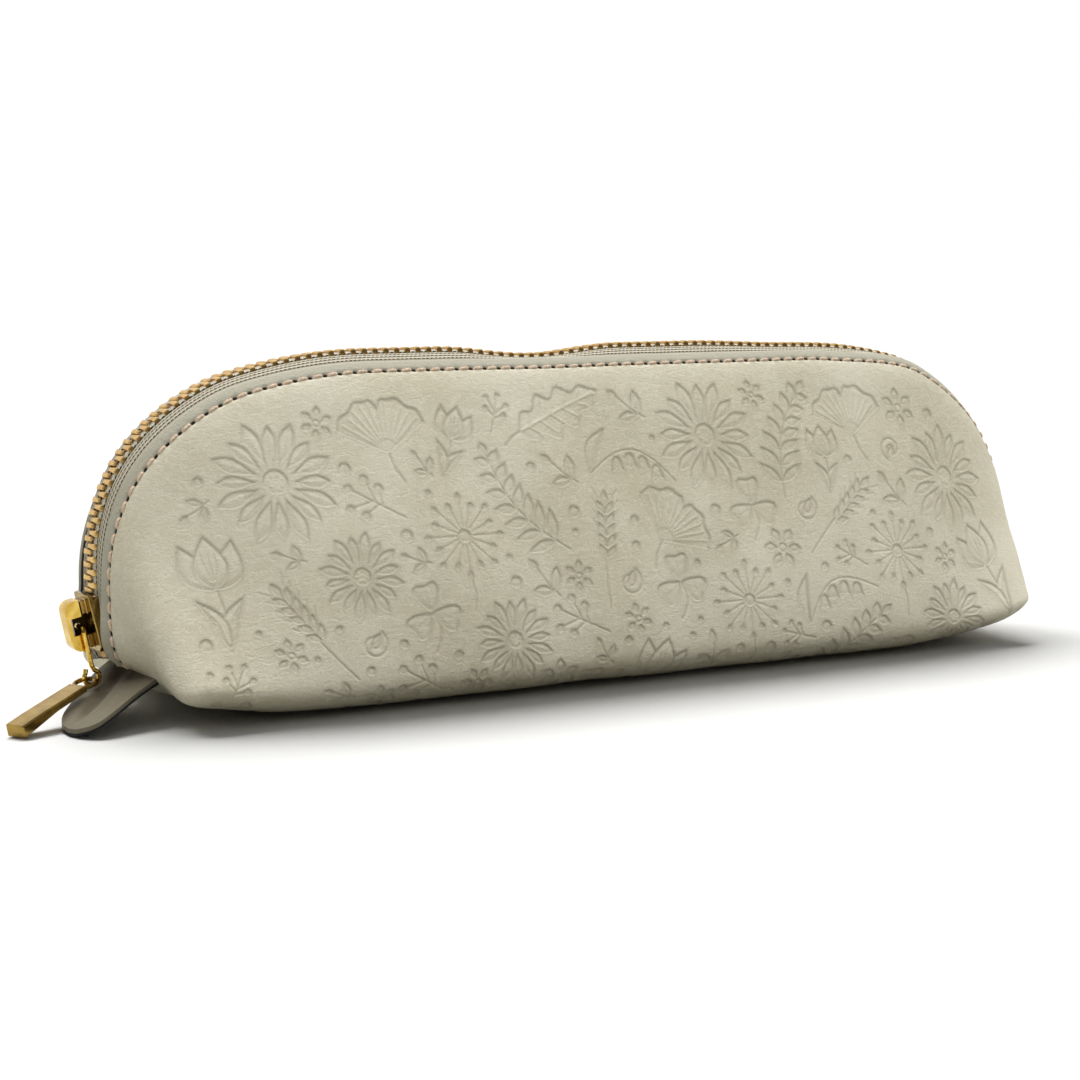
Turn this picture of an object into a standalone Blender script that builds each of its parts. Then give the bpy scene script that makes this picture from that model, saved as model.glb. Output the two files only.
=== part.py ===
"""Pen pouch with an arched brass zip.

One sheet of leather wraps from the front over the base to the back. Its two
arched edges are sewn to a brass zip that runs from the left end over the top
to the right end. A tongue of leather stands out at each end of the zip as a
grip. Metres, +Z up. X runs along the pouch, -Y is the front, the table is at
z = 0 and the origin is the middle of the base.
"""

import math

import bmesh
import bpy
import numpy as np
from mathutils import Matrix, Vector

# Clearance between pieces that touch, and how far a cutter overruns its cut
seat_gap = 0.0003
layer_gap = 0.0001
cutter_overrun = 0.002

# Zip line: the middle of the chain, seen from the front, and how far it stands out past the base
zip_overhang = 0.0061
bend_radius = 0.0382
bend_centre_height = 0.0264
shoulder_radius = 0.112
bend_end_angle = math.radians(76.0)
zip_end_angle = math.radians(-24.5)

# Teeth and the bead cord that carries them
tooth_pitch = 0.0024
tooth_thickness = 0.00082
tooth_reach = 0.0025
tooth_overlap = 0.00045
tooth_half_height = 0.0012
tooth_tip_half_height = 0.00085
cord_inner_reach = 0.0010
cord_outer_reach = 0.0020
cord_half_height = 0.00045

# Tape
tape_thickness = 0.0005
tape_hidden_width = 0.008
tape_margin_shares = (0.0, 0.33, 1.0)
tape_end_share = 0.3

# Leather sheet
leather_thickness = 0.0011
edge_reach = 0.0053
edge_lift_at_bend = 0.0010
edge_lift_at_crown = -0.0008
edge_turn = 0.0024
edge_turn_length = 0.0018
side_fullness_share = 1.35

# Base
base_half_length = 0.1020
base_half_depth = 0.0290
base_corner_radius = 0.009
base_edge_radius = 0.0045
base_flat_half_length = 0.068
base_end_rise = 0.0046
sheet_end_half_width = 0.0058
sheet_end_inset = 0.0004
spine_end_inset = 0.024

# Lining
lining_thickness = 0.0006
lining_blend_length = 0.016

# Grip tabs
tab_leather_thickness = 0.0007
tab_backing_thickness = 0.0006
tab_root_half_width = 0.0118
tab_root_height = 0.0065
tab_root_standoff = 0.0007
tab_tip_height = 0.0004
tab_straight_length = 0.0115
tab_tip_length = 0.0078
tab_tip_half_width = 0.0098
tab_side_share = 0.985
tab_fall_power_share = 1.15
left_tab_turn = math.radians(33.0)
right_tab_turn = math.radians(-33.0)
left_tab_root_shift = -0.0022
right_tab_root_shift = 0.0022

# Slider
slider_angle = math.radians(-12.0)
slider_half_length = 0.0055
slider_shoulder_inset = 0.0009
slider_half_width = 0.0047
slider_nose_half_width = 0.0036
slider_tail_half_width = 0.0039
plate_thickness = 0.0010
flange_thickness = 0.0006
flange_depth = 0.0010
channel_top = 0.0015
channel_bottom = 0.0020
inner_plate_half_width = 0.0036
neck_half_width = 0.0006
neck_length = 0.0032
lug_half_width = 0.0017
lug_height = 0.0010
lug_length = 0.0027
slider_edge_radius = 0.00022

# Slider cap, lock spring and window
cap_half_length = 0.0049
cap_height = 0.0030
cap_corner_radius = 0.0019
cap_wall = 0.00045
cap_roof = 0.0007
window_half_length = 0.0017
window_rail = 0.0008
spring_thickness = 0.00025
spring_half_width = 0.0009
spring_drop = 0.0013

# Pull link, a bent wire
wire_radius = 0.00047
link_arm_reach = 0.0025
link_corner_radius = 0.0008
link_tail_length = 0.0016
link_window_lift = 0.0042
link_window_along = -0.0004
link_drop = 0.0095
link_lean = 0.0014
hook_radius = 0.0015
hook_free_length = 0.0009
hook_lean_share = 0.17
hook_start_degrees = 72
hook_end_degrees = -210

# Puller
eye_radius = 0.0021
eye_wire_radius = 0.00045
puller_length = 0.0226
puller_half_width = 0.0021
puller_neck_half_height = 0.00065
puller_mid_half_height = 0.00075
puller_end_half_height = 0.00125
puller_mid_share = 0.55
puller_bend_share = 0.80
puller_bend_height_share = 0.86
puller_edge_radius = 0.00025
puller_heading = math.radians(211.0)
puller_dip = math.radians(14.4)

# Stops
stop_length = 0.0017
stop_inset = 0.0004
bottom_stop_length = 0.0028
bottom_stop_half_width = 0.0027
bottom_stop_half_height = 0.0014

# How finely the soft sheets are drawn
slider_columns = 6
bend_columns = 7
shoulder_columns = 2
crown_columns = 2
side_row_shares = (0.0, 0.03, 0.08, 0.2, 0.45, 0.72, 1.0)
round_rows = 3
base_rows = 2
tab_columns = 10
tab_rows = 5
wire_sides = 10
hook_steps = 14
eye_turns = 20
eye_sides = 8
lining_skipped_rows = (0, 1, 3, 5)

# Sizes that follow from those above
half_length = base_half_length + zip_overhang
bend_centre_x = bend_radius - half_length
bend_length = bend_radius * (bend_end_angle - zip_end_angle)
shoulder_length = shoulder_radius * (math.pi / 2 - bend_end_angle)
shoulder_centre_x = bend_centre_x + (shoulder_radius - bend_radius) * math.cos(bend_end_angle)
shoulder_centre_height = bend_centre_height - (shoulder_radius - bend_radius) * math.sin(bend_end_angle)
zip_half_length = bend_length + shoulder_length - shoulder_centre_x
zip_length = 2 * zip_half_length
slider_distance = bend_radius * (slider_angle - zip_end_angle)
row_parting = tooth_overlap + seat_gap + neck_half_width
neck_tail = slider_half_length - slider_shoulder_inset - neck_length
tape_reach = tooth_reach + seat_gap


def clear_scene():
    for thing in list(bpy.data.objects):
        bpy.data.objects.remove(thing, do_unlink=True)


def finish(name, colour, roughness, metallic):
    """A plain Principled material."""
    material = bpy.data.materials.new(name)
    material.use_nodes = True
    shader = material.node_tree.nodes["Principled BSDF"]
    shader.inputs["Base Color"].default_value = (*colour, 1.0)
    shader.inputs["Roughness"].default_value = roughness
    shader.inputs["Metallic"].default_value = metallic
    return material


def add_object(name, data, material, smooth_angle=None):
    thing = bpy.data.objects.new(name, data)
    bpy.context.collection.objects.link(thing)
    data.materials.append(material)
    if smooth_angle is not None:
        data.shade_smooth()
        data.set_sharp_from_angle(angle=smooth_angle)
    return thing


def mesh_from(name, points, faces):
    """A mesh whose faces all point out of the closed body."""
    mesh = bpy.data.meshes.new(name)
    mesh.from_pydata([tuple(point) for point in points], [], faces)
    shape = bmesh.new()
    shape.from_mesh(mesh)
    bmesh.ops.recalc_face_normals(shape, faces=shape.faces)
    shape.to_mesh(mesh)
    shape.free()
    return mesh


def smoothstep(value):
    value = min(max(value, 0.0), 1.0)
    return value * value * (3.0 - 2.0 * value)


# The zip line

def zip_frame(distance):
    """Point, outward and forward directions in XZ, at a distance from the zip's left end."""
    mirrored = distance > zip_half_length
    run = zip_length - distance if mirrored else distance
    if run < bend_length:
        angle = zip_end_angle + run / bend_radius
        out = (-math.cos(angle), math.sin(angle))
        x = bend_centre_x + bend_radius * out[0]
        z = bend_centre_height + bend_radius * out[1]
    elif run < bend_length + shoulder_length:
        angle = bend_end_angle + (run - bend_length) / shoulder_radius
        out = (-math.cos(angle), math.sin(angle))
        x = shoulder_centre_x + shoulder_radius * out[0]
        z = shoulder_centre_height + shoulder_radius * out[1]
    else:
        out = (0.0, 1.0)
        x = shoulder_centre_x + run - bend_length - shoulder_length
        z = shoulder_centre_height + shoulder_radius
    if mirrored:
        x = -x
        out = (-out[0], out[1])
    return (x, z), out, (out[1], -out[0])


def on_zip(distance, along, side, lift):
    """A point set off from the zip line: forward, sideways in Y, and outward."""
    (x, z), out, forward = zip_frame(distance)
    return (x + out[0] * lift + forward[0] * along, side, z + out[1] * lift + forward[1] * along)


def row_shift(distance):
    """How far a tooth row stands off its closed place, because the slider's neck parts the rows."""
    past_neck = distance - slider_distance + neck_tail
    closing = slider_half_length + neck_tail
    return row_parting * (1.0 - smoothstep(past_neck / closing))


# The leather sheet as a surface

def base_edge(run):
    """Plan point on the base's rounded outline, at a run from the left sheet end to mid length."""
    end_run = base_half_depth - base_corner_radius - sheet_end_half_width
    corner_run = base_corner_radius * math.pi / 2
    if run < end_run:
        return -base_half_length, sheet_end_half_width + run
    if run < end_run + corner_run:
        angle = (run - end_run) / base_corner_radius
        x = -base_half_length + base_corner_radius * (1.0 - math.cos(angle))
        y = base_half_depth - base_corner_radius * (1.0 - math.sin(angle))
        return x, y
    return -base_half_length + base_corner_radius + run - end_run - corner_run, base_half_depth


def base_inset(x, y):
    """How far a plan point lies inside the base's rounded outline."""
    dx = abs(x) - (base_half_length - base_corner_radius)
    dy = abs(y) - (base_half_depth - base_corner_radius)
    if dx > 0 and dy > 0:
        return base_corner_radius - math.hypot(dx, dy)
    return base_corner_radius - max(dx, dy)


def base_height(x, y):
    """Height of the underside: flat in the middle, lifted at the ends, with a rounded edge."""
    past_flat = max(abs(x) - base_flat_half_length, 0.0)
    rise = base_end_rise * (past_flat / (base_half_length - base_flat_half_length)) ** 2
    inset = min(max(base_inset(x, y), 0.0), base_edge_radius)
    outward = base_edge_radius - inset
    return rise + base_edge_radius - math.sqrt(max(base_edge_radius ** 2 - outward ** 2, 0.0))


edge_half_run = (base_half_depth - base_corner_radius - sheet_end_half_width
                 + base_corner_radius * math.pi / 2 + base_half_length - base_corner_radius)


def sheet_column(share):
    """Zip edge, base edge and base middle of the front half of the sheet.

    The share runs from 0 at the left end to 1 at the right end.
    """
    mirrored = share > 0.5
    near = 1.0 - share if mirrored else share
    distance = near * zip_length
    crown_share = smoothstep(distance / bend_length)
    lift = edge_lift_at_bend + (edge_lift_at_crown - edge_lift_at_bend) * crown_share
    x, y, z = on_zip(distance, 0, -edge_reach - row_shift(distance), lift)
    top = np.array([x, y, z])
    edge_x, edge_y = base_edge(2 * near * edge_half_run)
    end_run = base_half_depth - base_corner_radius - sheet_end_half_width
    spine_start = -base_half_length + sheet_end_inset
    if 2 * near * edge_half_run < end_run:
        spine_x = spine_start + (spine_end_inset - sheet_end_inset) * (
            2 * near * edge_half_run / end_run) * (1.0 - base_corner_radius / spine_end_inset)
    else:
        left = 1.0 - (2 * near * edge_half_run - end_run) / (edge_half_run - end_run)
        spine_x = (-base_half_length + spine_end_inset - base_corner_radius) * left
    edge = np.array([edge_x, -edge_y, base_height(edge_x, edge_y)])
    spine = np.array([spine_x, 0.0, base_height(spine_x, 0.0)])
    if mirrored:
        for point in (top, edge, spine):
            point[0] = -point[0]
    return top, edge, spine


def side_point(top, edge, share):
    """A point between the zip edge and the base edge of one column."""
    fullness = 1.0 - (1.0 - share) ** side_fullness_share
    point = top + (edge - top) * np.array([fullness, fullness, share])
    span = float(np.linalg.norm(edge - top))
    turn = edge_turn * smoothstep(span / base_half_depth)
    point[1] -= turn * (1.0 - math.exp(-share * span / edge_turn_length)) * (1.0 - share)
    return point


def base_point(edge, spine, share):
    plan = edge + (spine - edge) * share
    return np.array([plan[0], plan[1], base_height(plan[0], plan[1])])


def half_profile(share):
    """Points down the front half of one column, from the zip edge to the base middle."""
    top, edge, spine = sheet_column(share)
    points = []
    for side_share in side_row_shares:
        points.append(side_point(top, edge, side_share))
    across = float(np.linalg.norm((spine - edge)[:2]))
    round_share = min(base_edge_radius / across, 0.5)
    for row in range(1, round_rows + 1):
        turn = row / round_rows * math.pi / 2
        points.append(base_point(edge, spine, round_share * (1.0 - math.cos(turn))))
    for row in range(1, base_rows + 1):
        points.append(base_point(edge, spine, round_share + (1.0 - round_share) * row / base_rows))
    return points


def sheet_surface(shares):
    """Grid of points over the whole outer face, from the front zip edge to the back one."""
    grid = []
    for share in shares:
        front = half_profile(share)
        back = [point * np.array([1.0, -1.0, 1.0]) for point in reversed(front[:-1])]
        grid.append(front + back)
    return np.array(grid)


def grid_normals(grid):
    """Outward unit normals of a grid of points."""
    along = np.gradient(grid, axis=0)
    across = np.gradient(grid, axis=1)
    normal = np.cross(along, across)
    normal /= np.linalg.norm(normal, axis=2, keepdims=True)
    middle = normal[normal.shape[0] // 2, normal.shape[1] // 2]
    return normal if middle[2] < 0 else -normal


def sheet_body(name, outer, inner):
    """A closed sheet between two grids of points."""
    columns, rows, _ = outer.shape
    count = columns * rows
    points = list(outer.reshape(count, 3)) + list(inner.reshape(count, 3))
    faces = []
    for column in range(columns - 1):
        for row in range(rows - 1):
            a = column * rows + row
            b = a + rows
            faces.append((a, b, b + 1, a + 1))
            faces.append((count + a, count + a + 1, count + b + 1, count + b))
    for column in range(columns - 1):
        for row, flip in ((0, False), (rows - 1, True)):
            a = column * rows + row
            b = a + rows
            face = (a, count + a, count + b, b)
            faces.append(tuple(reversed(face)) if flip else face)
    for row in range(rows - 1):
        for column, flip in ((0, True), (columns - 1, False)):
            a = column * rows + row
            face = (a, count + a, count + a + 1, a + 1)
            faces.append(tuple(reversed(face)) if flip else face)
    return mesh_from(name, points, faces)


def column_distances():
    """Distances along the zip at which the sheets have a column, close together beside the slider."""
    slider_zone = slider_distance + slider_half_length
    stretches = (
        (0.0, slider_zone, slider_columns),
        (slider_zone, bend_length, bend_columns),
        (bend_length, bend_length + shoulder_length, shoulder_columns),
        (bend_length + shoulder_length, zip_half_length, crown_columns),
    )
    left = [start + (end - start) * step / count for start, end, count in stretches for step in range(count)]
    return left + [zip_half_length] + [zip_length - distance for distance in reversed(left)]


def column_shares(end_columns_skipped=0):
    shares = [distance / zip_length for distance in column_distances()]
    return shares[end_columns_skipped:len(shares) - end_columns_skipped]


def make_leather_body(material):
    outer = sheet_surface(column_shares())
    inner = outer - grid_normals(outer) * leather_thickness
    mesh = sheet_body("leather_body", outer, inner)
    return add_object("leather_body", mesh, material, math.radians(60))


def run_down(grid):
    """Distance of each grid point from the zip edge, down its column."""
    steps = np.linalg.norm(np.diff(grid, axis=1), axis=2)
    return np.concatenate([np.zeros((grid.shape[0], 1)), np.cumsum(steps, axis=1)], axis=1)


def make_lining(material):
    """A thin black layer inside the leather, stepping in to clear the tape near the zip.

    It stops where the slider sits at either end, and at the tape's sewn edge.
    """
    surface = sheet_surface(column_shares(slider_columns))
    normals = grid_normals(surface)
    from_front = run_down(surface)
    from_edge = np.minimum(from_front, from_front[:, -1:] - from_front)
    behind_leather = leather_thickness + seat_gap
    behind_tape = tape_thickness + seat_gap
    past_tape = (from_edge - tape_hidden_width - seat_gap) / lining_blend_length
    near_tape = 1.0 - np.clip(past_tape, 0.0, 1.0)
    depth = behind_leather + behind_tape * near_tape
    outer = surface - normals * depth[..., None]
    inner = outer - normals * lining_thickness
    last = surface.shape[1] - 1
    kept = [row for row in range(last + 1) if min(row, last - row) not in lining_skipped_rows]
    mesh = sheet_body("body_lining", outer[:, kept], inner[:, kept])
    return add_object("body_lining", mesh, material, math.radians(60))


# Zip tapes

def make_tape(name, sign, material):
    """One tape, from beside the teeth to its sewn margin under the leather."""
    shares = column_shares()
    surface = sheet_surface(shares)
    normals = grid_normals(surface)
    leather_inside = surface - normals * leather_thickness
    runs = run_down(surface)
    top, bottom = [], []
    for column, share in enumerate(shares):
        distance = share * zip_length
        reach = -(tape_reach + row_shift(distance))
        upper = [np.array(on_zip(distance, 0, reach, tape_thickness / 2))]
        lower = [np.array(on_zip(distance, 0, reach, -tape_thickness / 2))]
        for margin_share in tape_margin_shares:
            side_run = runs[column, len(side_row_shares) - 1]
            margin = min(margin_share * tape_hidden_width, tape_end_share * side_run)
            row = int(np.searchsorted(runs[column], margin, side="right")) - 1
            part = (margin - runs[column, row]) / (runs[column, row + 1] - runs[column, row])
            point = leather_inside[column, row] * (1 - part) + leather_inside[column, row + 1] * part
            normal = normals[column, row] * (1 - part) + normals[column, row + 1] * part
            normal = normal / np.linalg.norm(normal)
            upper.append(point - normal * seat_gap)
            lower.append(point - normal * (seat_gap + tape_thickness))
        top.append(upper)
        bottom.append(lower)
    flip = np.array([1.0, sign, 1.0])
    mesh = sheet_body(name, np.array(top) * flip, np.array(bottom) * flip)
    return add_object(name, mesh, material, math.radians(40))


# Teeth

tooth_outline = (
    (-tooth_overlap, -tooth_tip_half_height),
    (tooth_reach, -tooth_half_height),
    (tooth_reach, tooth_half_height),
    (-tooth_overlap, tooth_tip_half_height),
)
cord_outline = (
    (cord_inner_reach, -cord_half_height),
    (cord_outer_reach, -cord_half_height),
    (cord_outer_reach, cord_half_height),
    (cord_inner_reach, cord_half_height),
)
# Faces of one tooth's flank, between its outline (0 to 3) and the cord (4 to 7)
flank_faces = ((0, 1, 5, 4), (1, 2, 6, 5), (2, 3, 7, 6), (3, 0, 4, 7))


def tooth_distances(first, last):
    count = int((last - first - tooth_thickness) / tooth_pitch) + 1
    return [first + tooth_thickness / 2 + step * tooth_pitch for step in range(count)]


def make_tooth_row(name, sign, offset, material):
    """A row of metal teeth on its bead cord, as one body."""
    first = stop_inset + stop_length + seat_gap + offset
    last = zip_length - stop_inset - bottom_stop_length - seat_gap
    points, faces = [], []
    centres = tooth_distances(first, last)
    for number, centre in enumerate(centres):
        shift = row_shift(centre)
        start = len(points)
        for along in (-tooth_thickness / 2, tooth_thickness / 2):
            for reach, lift in tooth_outline + cord_outline:
                points.append(on_zip(centre, along, sign * (reach + shift), lift))
        side = len(tooth_outline)
        ring = side + len(cord_outline)
        for step in range(side):
            after = (step + 1) % side
            faces.append((start + step, start + after, start + ring + after, start + ring + step))
        if number == 0:
            faces.append(tuple(start + step for step in reversed(range(side))))
        else:
            faces.extend(tuple(start + corner for corner in face) for face in flank_faces)
        if number == len(centres) - 1:
            faces.append(tuple(start + ring + step for step in range(side)))
        else:
            faces.extend(tuple(start + ring + corner for corner in reversed(face)) for face in flank_faces)
            for step in range(len(cord_outline)):
                after = (step + 1) % len(cord_outline)
                here = start + ring + side
                there = start + 2 * ring + side
                faces.append((here + step, here + after, there + after, there + step))
    used_mesh = mesh_from(name, points, faces)
    drop_loose_points(used_mesh)
    return add_object(name, used_mesh, material, math.radians(30))


def drop_loose_points(mesh):
    shape = bmesh.new()
    shape.from_mesh(mesh)
    loose = [point for point in shape.verts if not point.link_faces]
    bmesh.ops.delete(shape, geom=loose, context="VERTS")
    shape.to_mesh(mesh)
    shape.free()


# Small solids

def prism(name, outline, place, low, high):
    """A closed prism: an outline swept between two depths, each point placed by a function."""
    count = len(outline)
    points = [place(first, second, depth) for depth in (low, high) for first, second in outline]
    faces = [tuple(range(count)), tuple(range(count, 2 * count))]
    for step in range(count):
        after = (step + 1) % count
        faces.append((step, after, count + after, count + step))
    return mesh_from(name, points, faces)


def bevel(thing, width, segments=1, angle=math.radians(40)):
    modifier = thing.modifiers.new("edges", "BEVEL")
    modifier.width = width
    modifier.segments = segments
    modifier.limit_method = "ANGLE"
    modifier.angle_limit = angle


def boolean(thing, tool, operation):
    modifier = thing.modifiers.new(tool.name, "BOOLEAN")
    modifier.operation = operation
    modifier.solver = "EXACT"
    modifier.object = tool
    tool.hide_render = True
    tool.display_type = "WIRE"


def make_top_stop(name, sign, material):
    """A clamp of bent wire that ends one row below the slider."""
    centre = stop_inset + stop_length / 2
    shift = row_shift(centre)

    def place(reach, lift, along):
        return on_zip(centre, along, sign * (reach + shift), lift)

    mesh = prism(name, tooth_outline, place, -stop_length / 2, stop_length / 2)
    return add_object(name, mesh, material, math.radians(30))


def make_bottom_stop(material):
    """The box that holds both rows together at the right end."""
    centre = zip_length - stop_inset - bottom_stop_length / 2
    wide, high = bottom_stop_half_width, bottom_stop_half_height
    outline = ((-wide, -high), (wide, -high), (wide, high), (-wide, high))

    def place(side, lift, along):
        return on_zip(centre, along, side, lift)

    mesh = prism("bottom_stop", outline, place, -bottom_stop_length / 2, bottom_stop_length / 2)
    thing = add_object("bottom_stop", mesh, material, math.radians(30))
    bevel(thing, 2 * slider_edge_radius, 2)
    return thing


# Grip tabs

def tab_outline_point(side, share, end_sign, turn, root_shift):
    """A plan point of a tab, and how far along its fall that point is.

    The side runs from -1 to 1 across the tab, and the share from its root to its tip.
    """
    root_x = end_sign * (base_half_length + tab_root_standoff)
    root = np.array([root_x, root_shift + side * tab_root_half_width])
    ahead = np.array([end_sign * math.cos(turn), -math.sin(turn)])
    across = np.array([end_sign * math.sin(turn), math.cos(turn)])
    across *= 1.0 if across[1] > 0 else -1.0
    tip_reach = tab_straight_length + tab_tip_length * math.sqrt(max(1.0 - side * side, 0.0))
    tip = np.array([root_x, root_shift]) + ahead * tip_reach + across * side * tab_tip_half_width
    return root + (tip - root) * share, share * tip_reach / (tab_straight_length + tab_tip_length)


def make_tab(name, end_sign, turn, root_shift, rise, thickness, material):
    """One layer of a tongue that slopes from the sheet's end to the table."""
    steps = np.linspace(-tab_side_share, tab_side_share, tab_columns)
    sides = [math.sin(math.pi / 2 * step) for step in steps]
    drop = tab_root_height - tab_tip_height
    low, high = [], []
    for side in sides:
        low_line, high_line = [], []
        for share in np.linspace(0.0, 1.0, tab_rows):
            (x, y), fall = tab_outline_point(side, share, end_sign, turn, root_shift)
            z = tab_tip_height + drop * (1.0 - fall) ** tab_fall_power_share + rise
            low_line.append((x, y, z))
            high_line.append((x, y, z + thickness))
        low.append(low_line)
        high.append(high_line)
    mesh = sheet_body(name, np.array(high), np.array(low))
    return add_object(name, mesh, material, math.radians(50))


# Slider

slider_point, slider_out, slider_forward = zip_frame(slider_distance)


def on_slider(along, side, lift):
    """A point in the slider's own straight frame: towards its tail, sideways and outward."""
    x = slider_point[0] + slider_out[0] * lift + slider_forward[0] * along
    z = slider_point[1] + slider_out[1] * lift + slider_forward[1] * along
    return (x, side, z)


def cell_body(name, counts, filled, place):
    """A closed body made of the filled cells of a lattice, with each lattice point placed."""
    points, faces = {}, []

    def corner(i, j, k):
        key = (i, j, k)
        if key not in points:
            points[key] = len(points)
        return points[key]

    steps = ((1, 0, 0), (0, 1, 0), (0, 0, 1))
    for i in range(counts[0]):
        for j in range(counts[1]):
            for k in range(counts[2]):
                if not filled(i, j, k):
                    continue
                for axis, (a, b, c) in enumerate(steps):
                    for end in (0, 1):
                        move = 1 if end else -1
                        neighbour = (i + a * move, j + b * move, k + c * move)
                        inside = all(0 <= place_ < size for place_, size in zip(neighbour, counts))
                        if inside and filled(*neighbour):
                            continue
                        base = [i + a * end, j + b * end, k + c * end]
                        u, v = [other for other in range(3) if other != axis]
                        square = []
                        for du, dv in ((0, 0), (1, 0), (1, 1), (0, 1)):
                            spot = list(base)
                            spot[u] += du
                            spot[v] += dv
                            square.append(corner(*spot))
                        faces.append(tuple(square))
    ordered = sorted(points, key=points.get)
    mesh = mesh_from(name, [place(*key) for key in ordered], faces)
    shape = bmesh.new()
    shape.from_mesh(mesh)
    bmesh.ops.dissolve_limit(shape, angle_limit=math.radians(1), verts=shape.verts, edges=shape.edges)
    bmesh.ops.recalc_face_normals(shape, faces=shape.faces)
    shape.to_mesh(mesh)
    shape.free()
    return mesh


def make_slider_body(material):
    """Two plates joined by a neck, with flanges turned down over the teeth and lugs for the cap."""
    shoulder = -slider_half_length + slider_shoulder_inset
    neck_end = shoulder + neck_length
    lug_end = cap_half_length - slider_edge_radius
    alongs = (-slider_half_length, shoulder, -lug_end + lug_length, neck_end,
              lug_end - lug_length, lug_end, slider_half_length)
    tail_share = [max(0.0, (along - neck_end) / (slider_half_length - neck_end)) for along in alongs]
    narrowing = slider_tail_half_width - slider_half_width
    widths = [slider_half_width + narrowing * share for share in tail_share]
    widths[0] = slider_nose_half_width
    lifts = (-channel_bottom - plate_thickness, -channel_bottom, channel_top - flange_depth,
             channel_top, channel_top + plate_thickness, channel_top + plate_thickness + lug_height)

    def side_of(i, j, k):
        outer = widths[i]
        inner = outer - flange_thickness
        if k < 2:
            inner = min(inner, inner_plate_half_width)
        values = (-outer, -inner, -lug_half_width, -neck_half_width,
                  neck_half_width, lug_half_width, inner, outer)
        return values[j]

    def filled(i, j, k):
        if k == 0:
            return 1 <= j <= 5
        if k in (1, 2):
            is_neck = j == 3 and 1 <= i <= 2
            is_flange = k == 2 and j in (0, 6) and 1 <= i <= 4
            return is_neck or is_flange
        if k == 3:
            return True
        return j in (2, 3, 4) and i in (1, 4)

    def place(i, j, k):
        return on_slider(alongs[i], side_of(i, j, k), lifts[k])

    mesh = cell_body("slider_body", (6, 7, 5), filled, place)
    thing = add_object("slider_body", mesh, material, math.radians(35))
    bevel(thing, slider_edge_radius)
    return thing


cap_base = channel_top + plate_thickness + lug_height + seat_gap
cap_top = cap_base + cap_height


def arch_outline(half, low, high, radius):
    """A side profile with two rounded outer corners."""
    points = [(-half, low), (half, low)]
    for centre, start in ((half - radius, 0.0), (-half + radius, math.pi / 2)):
        for step in range(5):
            angle = start + step / 4 * math.pi / 2
            points.append((centre + radius * math.cos(angle), high - radius + radius * math.sin(angle)))
    return points


def slider_prism(name, outline, low, high, material):
    def place(along, lift, side):
        return on_slider(along, side, lift)

    return add_object(name, prism(name, outline, place, low, high), material, math.radians(35))


def make_cap(material):
    """The bent cover over the lock spring, with a window in each side for the link."""
    wide = lug_half_width
    outline = arch_outline(cap_half_length, cap_base, cap_top, cap_corner_radius)
    cap = slider_prism("slider_cap", outline, -wide, wide, material)
    hollow = arch_outline(cap_half_length - cap_wall, cap_base - cutter_overrun,
                          cap_top - cap_roof, cap_corner_radius - cap_wall)
    cutter = slider_prism("cap_hollow", hollow, -wide + cap_wall, wide - cap_wall, material)
    boolean(cap, cutter, "DIFFERENCE")
    half = window_half_length
    low, high = cap_base - cutter_overrun, cap_top - window_rail
    window = ((-half, low), (half, low), (half, high), (-half, high))
    cutter = slider_prism("cap_window", window, -wide - cutter_overrun, wide + cutter_overrun, material)
    boolean(cap, cutter, "DIFFERENCE")
    return cap


def make_lock_spring(material):
    """A flat spring under the cap's roof, with one end bent down towards the teeth."""
    high = cap_top - cap_roof - seat_gap
    reach = cap_half_length - cap_wall - cap_corner_radius + cap_wall
    low = high - spring_thickness
    outline = ((-reach, high - spring_drop), (-reach + spring_thickness, high - spring_drop),
               (-reach + spring_thickness, low), (reach, low), (reach, high), (-reach, high))
    return slider_prism("lock_spring", outline, -spring_half_width, spring_half_width, material)


# Pull link and puller

link_pivot = on_slider(link_window_along, 0, link_window_lift)
hook_centre = (link_pivot[0] + link_lean, -link_arm_reach, link_pivot[2] - link_drop)


def arc_points(centre, radius, start, end, steps):
    """Points of an arc in a plane, as pairs."""
    points = []
    for step in range(steps + 1):
        angle = math.radians(start + (end - start) * step / steps)
        points.append((centre[0] + radius * math.cos(angle), centre[1] + radius * math.sin(angle)))
    return points


def make_pull_link(material):
    """A wire that crosses the cap's window, runs down beside the cap and ends in an open hook."""
    pivot_x, _, pivot_z = link_pivot
    reach, corner = link_arm_reach, link_corner_radius
    points = [(pivot_x, reach, pivot_z - link_tail_length)]
    for y, z in arc_points((reach - corner, pivot_z - corner), corner, 0, 90, 3):
        points.append((pivot_x, y, z))
    for y, z in arc_points((-reach + corner, pivot_z - corner), corner, 90, 180, 3):
        points.append((pivot_x, y, z))
    hook_x, hook_y, hook_z = hook_centre
    arm_end = (hook_x, hook_y, hook_z + hook_radius + corner)
    arm_start = points[-1]
    for step in (1, 2):
        points.append(tuple(a + (b - a) * step / 3 for a, b in zip(arm_start, arm_end)))
    points.append(arm_end)
    for x, z in arc_points((hook_x, hook_z), hook_radius, hook_start_degrees, hook_end_degrees, hook_steps):
        points.append((x, hook_y, z))
    end_x, _, end_z = points[-1]
    points.append((end_x + hook_free_length * hook_lean_share, hook_y, end_z + hook_free_length))
    path = [Vector(point) - Vector(link_pivot) for point in points]
    mesh = wire_mesh("pull_link", path, wire_radius, wire_sides)
    link = add_object("pull_link", mesh, material, math.radians(60))
    link.location = link_pivot
    return link


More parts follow.
